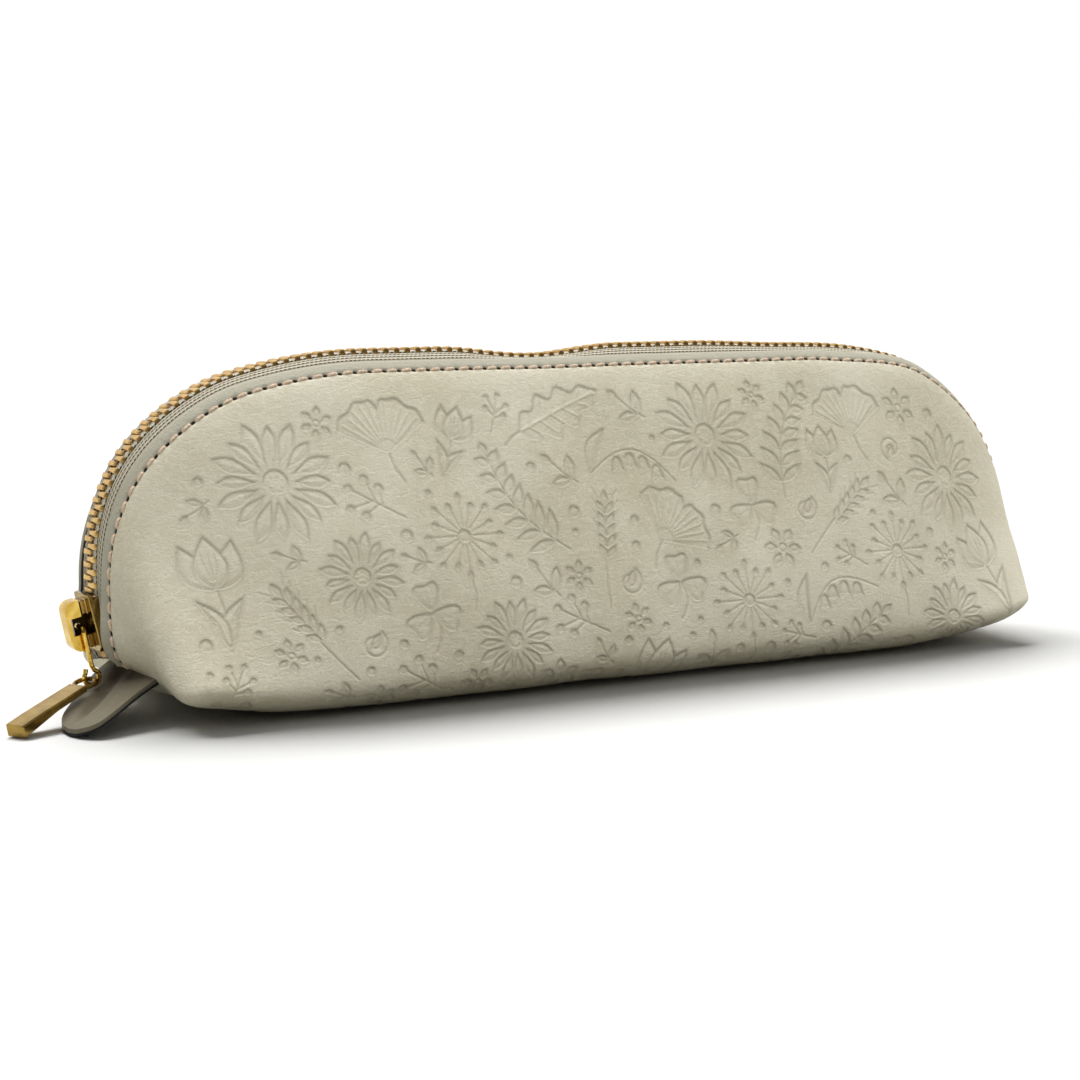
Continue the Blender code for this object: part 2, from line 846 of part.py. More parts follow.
def wire_mesh(name, path, radius, sides):
    """A round wire swept along a path without twisting, with flat ends."""
    points, faces = [], []
    across = Vector((1.0, 0.0, 0.0))
    last = len(path) - 1
    for number, point in enumerate(path):
        ahead = (path[min(number + 1, last)] - path[max(number - 1, 0)]).normalized()
        across = (across - ahead * across.dot(ahead)).normalized()
        up = ahead.cross(across)
        for side in range(sides):
            angle = side / sides * 2 * math.pi
            points.append(point + (across * math.cos(angle) + up * math.sin(angle)) * radius)
    for number in range(last):
        for side in range(sides):
            after = (side + 1) % sides
            here, there = number * sides, (number + 1) * sides
            faces.append((here + side, here + after, there + after, there + side))
    faces.append(tuple(range(sides)))
    faces.append(tuple(last * sides + side for side in range(sides)))
    return mesh_from(name, points, faces)


hook_play = hook_radius - wire_radius - eye_wire_radius - seat_gap
puller_pivot = Vector((hook_centre[0], hook_centre[1], hook_centre[2] - hook_play))


def puller_frame():
    """Axes of the puller: along it, across it and up, with its origin on the eye's far bar."""
    ahead = Vector((math.cos(puller_dip) * math.cos(puller_heading),
                    math.cos(puller_dip) * math.sin(puller_heading), -math.sin(puller_dip)))
    across = Vector((math.sin(puller_heading), -math.cos(puller_heading), 0.0))
    up = across.cross(ahead)
    if up.z < 0:
        up.negate()
        across.negate()
    frame = Matrix((ahead, across, up)).transposed().to_4x4()
    frame.translation = puller_pivot
    return frame


def make_puller(material):
    """A cast bar that thickens towards its end, with a round eye at its start."""
    bar_start = 2 * eye_radius - eye_wire_radius / 2
    end_drop = puller_mid_half_height - puller_end_half_height
    stations = (
        (bar_start, puller_neck_half_height, 0.0),
        (puller_length * puller_mid_share, puller_mid_half_height, 0.0),
        (puller_length * puller_bend_share, puller_end_half_height * puller_bend_height_share, end_drop / 2),
        (puller_length, puller_end_half_height, end_drop),
    )
    points, faces = [], []
    for along, half, drop in stations:
        for side, lift in ((-1, -1), (1, -1), (1, 1), (-1, 1)):
            points.append((along, side * puller_half_width, drop + lift * half))
    for number in range(len(stations) - 1):
        here = 4 * number
        for step in range(4):
            after = (step + 1) % 4
            faces.append((here + step, here + after, here + 4 + after, here + 4 + step))
    faces.append((0, 1, 2, 3))
    faces.append(tuple(4 * (len(stations) - 1) + step for step in range(4)))
    puller = add_object("puller", mesh_from("puller", points, faces), material, math.radians(35))
    bevel(puller, puller_edge_radius)
    puller.matrix_world = puller_frame()
    ring = ring_mesh("puller_eye", eye_radius, eye_wire_radius, eye_turns, eye_sides)
    eye = add_object("puller_eye", ring, material)
    eye.matrix_world = puller_frame()
    boolean(puller, eye, "UNION")
    return puller


def ring_mesh(name, radius, wire, turns, sides):
    """A round ring in the XY plane that starts at the origin and lies along +X."""
    points, faces = [], []
    for turn in range(turns):
        around = turn / turns * 2 * math.pi
        for side in range(sides):
            angle = (side + 0.5) / sides * 2 * math.pi
            out = radius + wire * math.cos(angle)
            points.append((radius + out * math.cos(around), out * math.sin(around), wire * math.sin(angle)))
    for turn in range(turns):
        after = (turn + 1) % turns
        for side in range(sides):
            next_side = (side + 1) % sides
            faces.append((turn * sides + side, after * sides + side,
                          after * sides + next_side, turn * sides + next_side))
    return mesh_from(name, points, faces)


def build():
    clear_scene()
    leather = finish("taupe_leather", (0.42, 0.38, 0.32), 0.55, 0.0)
    lining = finish("black_lining", (0.02, 0.02, 0.022), 0.8, 0.0)
    tape = finish("woven_tape", (0.36, 0.33, 0.28), 0.9, 0.0)
    antique_brass = finish("antique_brass", (0.42, 0.27, 0.12), 0.4, 1.0)
    polished_brass = finish("polished_brass", (0.83, 0.62, 0.25), 0.15, 1.0)
    steel = finish("spring_steel", (0.55, 0.55, 0.55), 0.35, 1.0)
    make_leather_body(leather)
    make_lining(lining)
    make_tape("front_zip_tape", 1.0, tape)
    make_tape("back_zip_tape", -1.0, tape)
    make_tooth_row("front_tooth_row", -1.0, 0.0, antique_brass)
    make_tooth_row("back_tooth_row", 1.0, tooth_pitch / 2, antique_brass)
    make_top_stop("front_top_stop", -1.0, antique_brass)
    make_top_stop("back_top_stop", 1.0, antique_brass)
    make_bottom_stop(antique_brass)
    for side, end_sign, turn, shift in (
        ("left", -1.0, left_tab_turn, left_tab_root_shift),
        ("right", 1.0, right_tab_turn, right_tab_root_shift),
    ):
        make_tab(side + "_tab_backing", end_sign, turn, shift, 0.0, tab_backing_thickness, lining)
        rise = tab_backing_thickness + layer_gap
        make_tab(side + "_tab_leather", end_sign, turn, shift, rise, tab_leather_thickness, leather)
    make_slider_body(polished_brass)
    make_cap(polished_brass)
    make_lock_spring(steel)
    make_pull_link(polished_brass)
    make_puller(polished_brass)


build()
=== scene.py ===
"""The looks of the pen pouch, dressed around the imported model."""
import math
import random

import bpy
import numpy as np
from mathutils import Matrix, Vector


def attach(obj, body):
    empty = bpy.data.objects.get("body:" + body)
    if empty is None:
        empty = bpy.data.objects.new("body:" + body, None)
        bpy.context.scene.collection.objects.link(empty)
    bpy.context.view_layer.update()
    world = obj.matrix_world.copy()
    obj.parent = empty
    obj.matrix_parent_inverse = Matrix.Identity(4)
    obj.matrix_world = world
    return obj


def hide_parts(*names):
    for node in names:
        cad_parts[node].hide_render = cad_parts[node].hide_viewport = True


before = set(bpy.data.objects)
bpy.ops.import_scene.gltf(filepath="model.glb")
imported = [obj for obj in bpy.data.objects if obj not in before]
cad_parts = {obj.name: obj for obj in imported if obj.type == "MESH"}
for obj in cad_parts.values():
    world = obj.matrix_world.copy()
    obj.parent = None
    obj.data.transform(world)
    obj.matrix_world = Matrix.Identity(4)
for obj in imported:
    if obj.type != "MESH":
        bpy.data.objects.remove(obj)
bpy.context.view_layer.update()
mm = 0.001


# Camera, light and table
# The pouch stands on a white table under a wide soft lamp, and is seen from
# its front left, from a little above.

camera_place = Vector((-256.0, -414.6, 88.6)) * mm
camera_azimuth = math.radians(30.67)
camera_pitch = math.radians(7.26)
camera_roll = math.radians(0.08)
focal_length_mm = 76.97
sensor_width_mm = 36.0

ahead = Vector((math.sin(camera_azimuth) * math.cos(camera_pitch),
                math.cos(camera_azimuth) * math.cos(camera_pitch), -math.sin(camera_pitch)))
level_right = Vector((math.cos(camera_azimuth), -math.sin(camera_azimuth), 0.0))
level_up = level_right.cross(ahead)
right = level_right * math.cos(camera_roll) + level_up * math.sin(camera_roll)
up = level_up * math.cos(camera_roll) - level_right * math.sin(camera_roll)
lens = bpy.data.cameras.new("camera")
lens.lens = focal_length_mm
lens.sensor_width = sensor_width_mm
lens.sensor_fit = "HORIZONTAL"
lens.clip_start = 0.01
camera = bpy.data.objects.new("camera", lens)
camera.matrix_world = Matrix((right, up, -ahead)).transposed().to_4x4()
camera.location = camera_place
bpy.context.scene.collection.objects.link(camera)
bpy.context.scene.camera = camera
bpy.context.scene.view_settings.view_transform = "Standard"


class Reading:
    """A shader socket that is worked with like a number."""

    def __init__(self, finish, socket):
        self.finish = finish
        self.socket = socket

    def reckon(self, operation, *others):
        inputs = {place: other for place, other in enumerate((self,) + others)}
        return self.finish.node("ShaderNodeMath", {"operation": operation}, inputs)

    def __add__(self, other):
        return self.reckon("ADD", other)

    __radd__ = __add__

    def __mul__(self, other):
        return self.reckon("MULTIPLY", other)

    __rmul__ = __mul__

    def __sub__(self, other):
        return self.reckon("SUBTRACT", other)

    def __rsub__(self, other):
        return self.finish.node("ShaderNodeMath", {"operation": "SUBTRACT"}, {0: other, 1: self})

    def __truediv__(self, other):
        return self.reckon("DIVIDE", other)

    def step(self, low, high):
        """0 below the low value, 1 above the high one, and smooth between them."""
        settings = {"interpolation_type": "SMOOTHSTEP"}
        return self.finish.node("ShaderNodeMapRange", settings, {0: self, 1: low, 2: high, 3: 0.0, 4: 1.0})


class Wiring:
    """The nodes of a world or a material."""

    def __init__(self, holder):
        holder.use_nodes = True
        self.nodes = holder.node_tree.nodes
        self.links = holder.node_tree.links

    def node(self, kind, settings=None, inputs=None, output=0):
        """Adds a node, sets it, feeds its sockets and returns one of its outputs."""
        made = self.nodes.new(kind)
        for name, value in (settings or {}).items():
            setattr(made, name, value)
        for place, value in (inputs or {}).items():
            self.feed(made.inputs[place], value)
        return Reading(self, made.outputs[output])

    def feed(self, socket, value):
        if isinstance(value, Reading):
            self.links.new(value.socket, socket)
        else:
            socket.default_value = value


class Finish(Wiring):
    """A material made of nodes around one Principled shader."""

    def __init__(self, name, **constants):
        self.material = bpy.data.materials.new(name)
        super().__init__(self.material)
        self.shader = self.nodes["Principled BSDF"]
        for socket, value in constants.items():
            self.shader.inputs[socket.replace("_", " ")].default_value = value

    def place(self):
        return self.node("ShaderNodeTexCoord", output="Object")

    def noise(self, scale, detail=3.0, roughness=0.5, where=None, distortion=0.0):
        inputs = {"Vector": where or self.place(), "Scale": scale, "Detail": detail,
                  "Roughness": roughness, "Distortion": distortion}
        return self.node("ShaderNodeTexNoise", None, inputs)

    def mix(self, factor, first, second):
        """A colour between two colours."""
        return self.node("ShaderNodeMix", {"data_type": "RGBA"}, {0: factor, 6: first, 7: second}, output=2)

    def stored(self, name):
        """A value that the mesh carries at its points."""
        return self.node("ShaderNodeAttribute", {"attribute_name": name}, output="Fac")

    def bump(self, height, distance, under=None):
        inputs = {"Height": height, "Distance": distance, "Strength": 1.0}
        if under is not None:
            inputs["Normal"] = under
        return self.node("ShaderNodeBump", None, inputs)

    def paint(self, **readings):
        for socket, value in readings.items():
            self.feed(self.shader.inputs[socket.replace("_", " ")], value)
        return self.material


sky_level = 0.22
near_side_gloss = 0.14
overhead_gloss = 1.5
soft_lean, soft_spread, soft_power = Vector((0.12, 0.12, 0.98)), math.radians(86.0), 5.25
fill_lean, fill_spread, fill_power = Vector((0.10, -0.95, 0.12)), math.radians(60.0), 0.12
back_leans = Vector((-0.28, 0.49, 0.78)), Vector((0.0, 0.49, 0.78)), Vector((0.28, 0.49, 0.78))
back_spread, back_power = math.radians(24.0), 1.60


def hang_lamp(name, lean, spread, power):
    """A far lamp that shines from a heading, over a round patch of the sky."""
    lamp = bpy.data.lights.new(name, "SUN")
    lamp.energy = power
    lamp.angle = spread
    holder = bpy.data.objects.new(name, lamp)
    holder.rotation_euler = lean.to_track_quat("Z", "Y").to_euler()
    bpy.context.scene.collection.objects.link(holder)
    return holder


pouch_lamps = [hang_lamp("soft_lamp", soft_lean, soft_spread, soft_power),
               hang_lamp("fill_lamp", fill_lean, fill_spread, fill_power)]
table_lamps = [hang_lamp("back_lamp", lean, back_spread, back_power) for lean in back_leans]
for holder in pouch_lamps + table_lamps:
    holder.visible_glossy = False

# The world is white where the camera and the metal see it behind the pouch
world = bpy.data.worlds.new("studio")
bpy.context.scene.world = world
studio = Wiring(world)
looking = studio.node("ShaderNodeTexCoord", output="Generated")
backwards = studio.node("ShaderNodeSeparateXYZ", None, {0: looking}, output=1)
far_side = backwards.step(-0.25, 0.35)
climb = Reading(studio, backwards.socket.node.outputs[2])
sky = (climb.step(-0.2, 0.9) * 0.85 + 0.15) * sky_level
ray = studio.nodes.new("ShaderNodeLightPath")
seen = Reading(studio, ray.outputs["Is Camera Ray"])
glossy = Reading(studio, ray.outputs["Is Glossy Ray"])
overhead = climb.step(0.45, 0.95) * (overhead_gloss - 1.0) + 1.0
metal_view = (far_side * (1.0 - near_side_gloss) + near_side_gloss) * overhead
level = glossy * metal_view + (1.0 - glossy) * sky
studio.feed(studio.nodes["Background"].inputs["Strength"], seen + (1.0 - seen) * level)
studio.nodes["Background"].inputs["Color"].default_value = (1.0, 1.0, 1.0, 1.0)

white_table = Finish("white_table", Roughness=0.7, Specular_IOR_Level=0.15)
table_ray = Reading(white_table, white_table.nodes.new("ShaderNodeLightPath").outputs["Is Camera Ray"])
table_tone = white_table.mix(table_ray, (0.70, 0.70, 0.64, 1.0), (0.76, 0.76, 0.75, 1.0))
white_table.paint(Base_Color=table_tone)
table_half_width = 30.0
table_mesh = bpy.data.meshes.new("table")
table_corners = [(-1, -1), (1, -1), (1, 1), (-1, 1)]
table_mesh.from_pydata([(x * table_half_width, y * table_half_width, 0.0) for x, y in table_corners], [],
                       [(0, 1, 2, 3)])
table_mesh.materials.append(white_table.material)
table = bpy.data.objects.new("table", table_mesh)
bpy.context.scene.collection.objects.link(table)

# Two lamps light the pouch alone and a row of three the table alone, where the
# pouch throws its shadow forwards
for holder in pouch_lamps + table_lamps:
    lit = bpy.data.collections.new(holder.name + "_table")
    lit.objects.link(table)
    lit.collection_objects[0].light_linking.link_state = "INCLUDE" if holder in table_lamps else "EXCLUDE"
    holder.light_linking.receiver_collection = lit


# Leather sheet
# One sheet of taupe leather wraps from the front under the base to the back.
# Its arched edges are cut raw and sewn onto the zip. Plant drawings are
# pressed into its face with a heated plate before it is sewn.

bend_radius = 38.2 * mm
base_half_length = 102.0 * mm
half_length = base_half_length + 6.1 * mm
bend_centre_height = 26.4 * mm
shoulder_radius = 112.0 * mm
bend_end_angle = math.radians(76.0)
zip_end_angle = math.radians(-24.5)
bend_centre_x = bend_radius - half_length
bend_length = bend_radius * (bend_end_angle - zip_end_angle)
shoulder_length = shoulder_radius * (math.pi / 2 - bend_end_angle)
shoulder_centre_x = bend_centre_x + (shoulder_radius - bend_radius) * math.cos(bend_end_angle)
shoulder_centre_height = bend_centre_height - (shoulder_radius - bend_radius) * math.sin(bend_end_angle)
zip_half = bend_length + shoulder_length - shoulder_centre_x
zip_length = 2 * zip_half
slider_run = bend_radius * (math.radians(-12.0) - zip_end_angle)
slider_half_length = 5.5 * mm
slider_neck_tail = 1.4 * mm
row_parting = 1.35 * mm
sag_centre = -14.0 * mm
sag_half_width = 22.0 * mm
chain_sag = 1.75 * mm
# How far a stretch of the edge stands out, the distance from the end to its middle, and its half width
left_bend_fullness = (0.75 * mm, 36 * mm, 22 * mm)
right_bend_fullness = (0.7 * mm, 43 * mm, 26 * mm)
right_shoulder_drop = (0.9 * mm, 92 * mm, 30 * mm)


def smoothstep(value):
    value = np.clip(value, 0.0, 1.0)
    return value * value * (3.0 - 2.0 * value)


def swell(place, centre, half_width):
    """A smooth hump that is 1 at its centre and 0 from its half width outwards."""
    return np.cos(np.clip((place - centre) / half_width, -1.0, 1.0) * math.pi / 2) ** 2


def sag(x):
    """How far the zip sinks where the pouch's crown gives a little."""
    return swell(x, sag_centre, sag_half_width)


def zip_line(run):
    """Middle of the chain and its outward direction in XZ, at distances from the left end."""
    run = np.asarray(run, float)
    mirrored = run > zip_half
    near = np.where(mirrored, zip_length - run, run)
    on_bend = near < bend_length
    on_crown = near > bend_length + shoulder_length
    angle = np.where(on_bend, zip_end_angle + near / bend_radius,
                     bend_end_angle + (near - bend_length) / shoulder_radius)
    angle = np.where(on_crown, math.pi / 2, angle)
    out_x, out_z = -np.cos(angle), np.sin(angle)
    x = np.where(on_bend, bend_centre_x + bend_radius * out_x, shoulder_centre_x + shoulder_radius * out_x)
    x = np.where(on_crown, shoulder_centre_x + near - bend_length - shoulder_length, x)
    z = np.where(on_bend, bend_centre_height + bend_radius * out_z,
                 shoulder_centre_height + shoulder_radius * out_z)
    side = np.where(mirrored, -1.0, 1.0)
    return x * side, z, out_x * side, out_z


def stretch_of(near, stretch):
    height, middle, half_width = stretch
    return height * swell(near, middle, half_width)


def bend_fullness(run):
    """How far the stuffed bends and the right shoulder stand off their arcs."""
    run = np.asarray(run, float)
    near = np.minimum(run, zip_length - run)
    left = stretch_of(near, left_bend_fullness)
    right = stretch_of(near, right_bend_fullness) - stretch_of(near, right_shoulder_drop)
    return np.where(run > zip_half, right, left)


def on_zip(run, side, lift, along=0.0, give=1.0):
    """Points set off from the zip line: sideways in Y, outward, and forward."""
    x, z, out_x, out_z = zip_line(run)
    lift = lift + bend_fullness(run)
    z = z - give * chain_sag * sag(x)
    px = x + out_x * lift + out_z * along
    pz = z + out_z * lift - out_x * along
    return np.stack([px, np.broadcast_to(side, px.shape), pz], axis=-1)


def row_shift(run):
    """How far a tooth row stands off its closed place beside the slider's neck."""
    past = (np.asarray(run, float) - slider_run + slider_neck_tail) / (slider_half_length + slider_neck_tail)
    return row_parting * (1.0 - smoothstep(past))


base_half_depth = 29.0 * mm
base_corner_radius = 3.6 * mm
base_edge_radius = 4.5 * mm
base_flat_half_length = 68.0 * mm
base_end_rise = 4.6 * mm
base_fold_length = 5.5 * mm
base_fold_rise = 2.2 * mm
base_tuck_half_width = 16.0 * mm
base_tuck_blend = 10.0 * mm
base_fold_radius = 2.0 * mm
sheet_end_half_width = 5.8 * mm
spine_end_inset = 24.0 * mm
edge_reach = 5.3 * mm
edge_lift_at_bend = 1.0 * mm
edge_lift_at_crown = -0.8 * mm
edge_settle_length = 50.0 * mm
edge_turn = 2.4 * mm
edge_turn_length = 1.8 * mm
side_fullness = 1.35
end_fullness = 0.90
end_fullness_length = 38.0 * mm
fullness_ease = 0.06
corner_push = 2.0 * mm
corner_push_end, corner_push_fade = 15 * mm, 11 * mm
right_edge_lift = 1.7 * mm
right_lift_end, right_lift_fade, right_lift_start = 86 * mm, 26 * mm, 20 * mm
back_edge_lift = 0.6 * mm
back_lift_end, back_lift_fade = 34 * mm, 16 * mm
right_flare = 1.5 * mm
# How far the right end is pinched in, the height of its middle, and half the height it covers
right_pinch = (0.8 * mm, 25 * mm, 11 * mm)
right_pinch_from, right_pinch_fade = 84 * mm, 18 * mm
edge_rows, round_rows, base_rows = 18, 16, 26
front_panel_rows, back_panel_rows = 330, 150
soft_from_share = 0.45
softening_length = 2.1 * mm
edge_zone = 5.0 * mm
edge_zone_share = 0.25
sheet_columns = 1400
leather_thickness = 0.55 * mm
end_run = base_half_depth - base_corner_radius - sheet_end_half_width
corner_run = base_corner_radius * math.pi / 2
edge_half_run = end_run + corner_run + base_half_length - base_corner_radius


def base_edge(run):
    """Plan points on the base's rounded outline, at runs from the left sheet end to mid length."""
    angle = np.clip((run - end_run) / base_corner_radius, 0.0, math.pi / 2)
    past_corner = np.maximum(run - end_run - corner_run, 0.0)
    x = -base_half_length + base_corner_radius * (1.0 - np.cos(angle)) + past_corner
    y = sheet_end_half_width + np.minimum(run, end_run) + base_corner_radius * np.sin(angle)
    return x, y


def base_inset(x, y):
    dx = np.abs(x) - (base_half_length - base_corner_radius)
    dy = np.abs(y) - (base_half_depth - base_corner_radius)
    outside = np.hypot(np.maximum(dx, 0.0), np.maximum(dy, 0.0))
    return base_corner_radius - np.where((dx > 0) & (dy > 0), outside, np.maximum(dx, dy))


def base_height(x, y):
    """Height of the underside. It rises at the ends, where the left end is tucked in between its corners."""
    past_flat = np.maximum(np.abs(x) - base_flat_half_length, 0.0)
    rise = base_end_rise * (past_flat / (base_half_length - base_flat_half_length)) ** 2
    folded = smoothstep((np.abs(x) - base_half_length + base_fold_length) / base_fold_length)
    between_corners = 1.0 - smoothstep((np.abs(y) - base_tuck_half_width) / base_tuck_blend)
    fold_share = np.where(x < 0, between_corners, 1.0)
    radius = base_edge_radius + (base_fold_radius - base_edge_radius) * folded
    outward = radius - np.clip(base_inset(x, y), 0.0, radius)
    rounding = np.sqrt(np.maximum(radius ** 2 - outward ** 2, 0.0))
    return rise + base_fold_rise * folded * fold_share + radius - rounding


def upper_edge(run, mirror, tuck):
    """The sheet's edge along the zip, drawn for the left half."""
    right_side = mirror < 0
    lift = edge_lift_at_bend + (edge_lift_at_crown - edge_lift_at_bend) * smoothstep(run / edge_settle_length)
    if tuck == 0.0:
        fading = smoothstep((right_lift_end - run) / right_lift_fade)
        lift = lift + right_edge_lift * right_side * fading * smoothstep(run / right_lift_start)
    else:
        lift = lift + back_edge_lift * ~right_side * smoothstep((back_lift_end - run) / back_lift_fade)
    top = on_zip(run, 0.0, lift, give=0.0)
    top[:, 1] = -edge_reach - row_shift(run)
    near_corner = smoothstep((corner_push_end - run) / corner_push_fade)
    push = corner_push * near_corner * smoothstep(0.35 + run / (4 * mm))
    top[:, 0] -= push * ~right_side
    return top


def base_lines(along, mirror):
    """The base's outline and its middle line, at matching places."""
    edge_x, edge_y = base_edge(along)
    edge_x = edge_x * mirror + right_flare * (mirror < 0)
    edge = np.stack([edge_x, -edge_y, base_height(edge_x, edge_y)], axis=-1)
    end_share = np.clip(along / end_run, 0.0, 1.0)
    spine_x = -base_half_length + (spine_end_inset - base_corner_radius) * end_share
    left = 1.0 - (along - end_run) / (edge_half_run - end_run)
    inner_x = (-base_half_length + spine_end_inset - base_corner_radius) * left
    spine_x = np.where(along < end_run, spine_x, inner_x) * mirror
    return edge, np.stack([spine_x, 0.0 * spine_x, base_height(spine_x, 0.0 * spine_x)], axis=-1)


def fullness_at(step, power):
    """Share of the way out to the base's outline that the panel has reached, some way down."""
    eased = fullness_ease ** power
    left_over = (np.clip(1.0 - step, 0.0, 1.0) + fullness_ease) ** power - eased
    return 1.0 - left_over / ((1.0 + fullness_ease) ** power - eased)


def soften(grid, panel_rows):
    """Evens out the lower part of a grid, along its rows and across them."""
    soft_row = edge_rows + int(soft_from_share * panel_rows)
    into_soft = np.arange(grid.shape[1]) - soft_row
    softness = smoothstep(into_soft / (0.3 * panel_rows))[None, soft_row:, None]
    row_step = bend_centre_height * 2.5 / panel_rows
    for _ in range(int(2 * (softening_length / row_step) ** 2)):
        bend = grid[:, soft_row - 1:-2] + grid[:, soft_row + 1:] - 2 * grid[:, soft_row:-1]
        grid[:, soft_row:-1] += bend * softness[:, :-1] / 4
    column_step = zip_length / (grid.shape[0] - 1)
    for _ in range(int(2 * (softening_length / column_step) ** 2)):
        bend = grid[:-2, soft_row:] + grid[2:, soft_row:] - 2 * grid[1:-1, soft_row:]
        grid[1:-1, soft_row:] += bend * softness / 4
    return grid


def half_sheet(columns, panel_rows, give, tuck):
    """Half of the sheet's face as columns of points, from the zip edge to the middle of the base.

    The tuck is how far the edge bands at the two bends turn inwards, and the give how far the crown sinks.
    """
    share = np.linspace(0.0, 1.0, columns + 1)
    near = np.where(share > 0.5, 1.0 - share, share)
    mirror = np.where(share > 0.5, -1.0, 1.0)
    run = near * zip_length
    edge_along = 2 * near * edge_half_run
    edge, spine = base_lines(edge_along, mirror)
    top = upper_edge(run, mirror, tuck)
    top[:, 0] *= mirror
    top[:, 2] -= give * sag(top[:, 0])
    past_corner = (edge_along - end_run - corner_run) / end_fullness_length
    fullness_power = end_fullness + (side_fullness - end_fullness) * smoothstep(past_corner)
    span = np.linalg.norm(edge - top, axis=1)
    turn = edge_turn * smoothstep(span / base_half_depth)
    tucked = tuck * (1.0 - smoothstep(run / bend_length))
    zone = np.minimum(edge_zone / span, edge_zone_share)
    shares = [zone * row / edge_rows for row in range(edge_rows)]
    shares += [zone + (1.0 - zone) * row / panel_rows for row in range(panel_rows + 1)]
    rows = []
    for step in shares:
        fullness = fullness_at(step, fullness_power)
        point = top + (edge - top) * np.stack([fullness, fullness, step], axis=-1)
        bent = turn * (1.0 - np.exp(-step * span / edge_turn_length)) * (1.0 - step)
        point[:, 1] -= bent * (1.0 - tucked)
        point[:, 0] += bent * tucked * mirror
        pinched = smoothstep((point[:, 0] - right_pinch_from) / right_pinch_fade)
        point[:, 0] -= stretch_of(point[:, 2], right_pinch) * pinched
        rows.append(point)
    across = np.linalg.norm((spine - edge)[:, :2], axis=1)
    round_share = np.minimum(base_edge_radius / across, 0.5)
    round_angles = [row / round_rows * math.pi / 2 for row in range(1, round_rows + 1)]
    inward = [round_share * (1.0 - math.cos(angle)) for angle in round_angles]
    inward += [round_share + (1.0 - round_share) * row / base_rows for row in range(1, base_rows + 1)]
    for step in inward:
        plan = edge + (spine - edge) * step[:, None]
        rows.append(np.stack([plan[:, 0], plan[:, 1], base_height(plan[:, 0], plan[:, 1])], axis=-1))
    return soften(np.stack(rows, axis=1), panel_rows)


def grid_normals(grid):
    """Unit normals of a grid of points, pointing out of the pouch."""
    normal = np.cross(np.gradient(grid, axis=0), np.gradient(grid, axis=1))
    normal /= np.maximum(np.linalg.norm(normal, axis=2, keepdims=True), 1e-12)
    lowest_row = int(grid[..., 2].mean(axis=0).argmin())
    return normal if normal[normal.shape[0] // 2, lowest_row, 2] < 0 else -normal


def run_down(grid):
    steps = np.linalg.norm(np.diff(grid, axis=1), axis=2)
    return np.concatenate([np.zeros((grid.shape[0], 1)), np.cumsum(steps, axis=1)], axis=1)


# The pressing plate: drawings worked out on a fine grid, in millimetres of
# the panel's own plane, as depths below the leather's face.

plate_low = np.array([-112.0, -26.0])
plate_high = np.array([112.0, 74.0])
press_depth = 0.26
press_margin = 1.2
puff_reach = 1.1
# Middle, width and reach of the darker band just outside each pressed shape, partly burnish and partly
# painted shade
rim_middle, rim_width, rim_reach = 0.12, 0.3, 0.9
panel_slant = 1.07


class Plate:
    """A plate's cells: how deep each one is pressed, and how much of a line it is, which darkens the leather
    there as burnish and painted shade.
    """

    def __init__(self, cell, wall, line_depth, line_width):
        self.cell = cell
        self.wall = wall
        self.line_depth = line_depth
        self.line_width = line_width
        self.size = ((plate_high - plate_low) / cell).astype(int)
        self.clear()

    def clear(self):
        self.depths = np.zeros(self.size)
        self.lines = np.zeros(self.size)

    def window(self, points, margin):
        """Index ranges and coordinates of the cells around some points."""
        low = np.clip(((points.min(0) - margin - plate_low) / self.cell).astype(int), 0, self.size - 1)
        high = np.clip(((points.max(0) + margin - plate_low) / self.cell).astype(int) + 1, 1, self.size)
        u = plate_low[0] + (np.arange(low[0], high[0]) + 0.5) * self.cell
        v = plate_low[1] + (np.arange(low[1], high[1]) + 0.5) * self.cell
        return (slice(low[0], high[0]), slice(low[1], high[1])), u[:, None], v[None, :]


# Room is found on a trial plate with coarser cells and broader lines than the real one has
trial_plate = Plate(cell=0.12, wall=0.26, line_depth=0.22, line_width=0.24)
real_plate = Plate(cell=0.08, wall=0.20, line_depth=0.24, line_width=0.19)
plate = trial_plate


def distance_to(points, u, v, closed):
    """Distance of plate cells from a line through points, and whether they lie inside it."""
    nearest = np.full((u.shape[0], v.shape[1]), 1e6)
    inside = np.zeros(nearest.shape, bool)
    after = np.roll(points, -1, axis=0) if closed else points[1:]
    for (ax, ay), (bx, by) in zip(points, after):
        dx, dy = bx - ax, by - ay
        length = max(dx * dx + dy * dy, 1e-9)
        share = np.clip(((u - ax) * dx + (v - ay) * dy) / length, 0.0, 1.0)
        nearest = np.minimum(nearest, np.hypot(u - ax - share * dx, v - ay - share * dy))
        if closed and ay != by:
            crosses = (ay > v) != (by > v)
            inside ^= crosses & (u < ax + (v - ay) / (by - ay) * dx)
    return nearest, inside


def press(outline, depth=press_depth, hollow=0.55):
    """Presses a closed shape: deepest along its rim, and puffed up inside by the hollow share."""
    window, u, v = plate.window(outline, press_margin)
    if u.size == 0 or v.size == 0:
        return
    nearest, inside = distance_to(outline, u, v, True)
    wall = smoothstep(nearest / plate.wall + 0.1)
    floor = 1.0 - hollow * smoothstep((nearest - plate.wall) / puff_reach)
    plate.depths[window] = np.where(inside, -depth * wall * floor, plate.depths[window])
    # A darker band of burnish and painted shade lies just outside the shape's rim
    rim = np.exp(-((nearest - rim_middle) / rim_width) ** 2) * (nearest < rim_reach)
    plate.lines[window] = np.maximum(np.where(inside, 0.0, plate.lines[window]), rim)


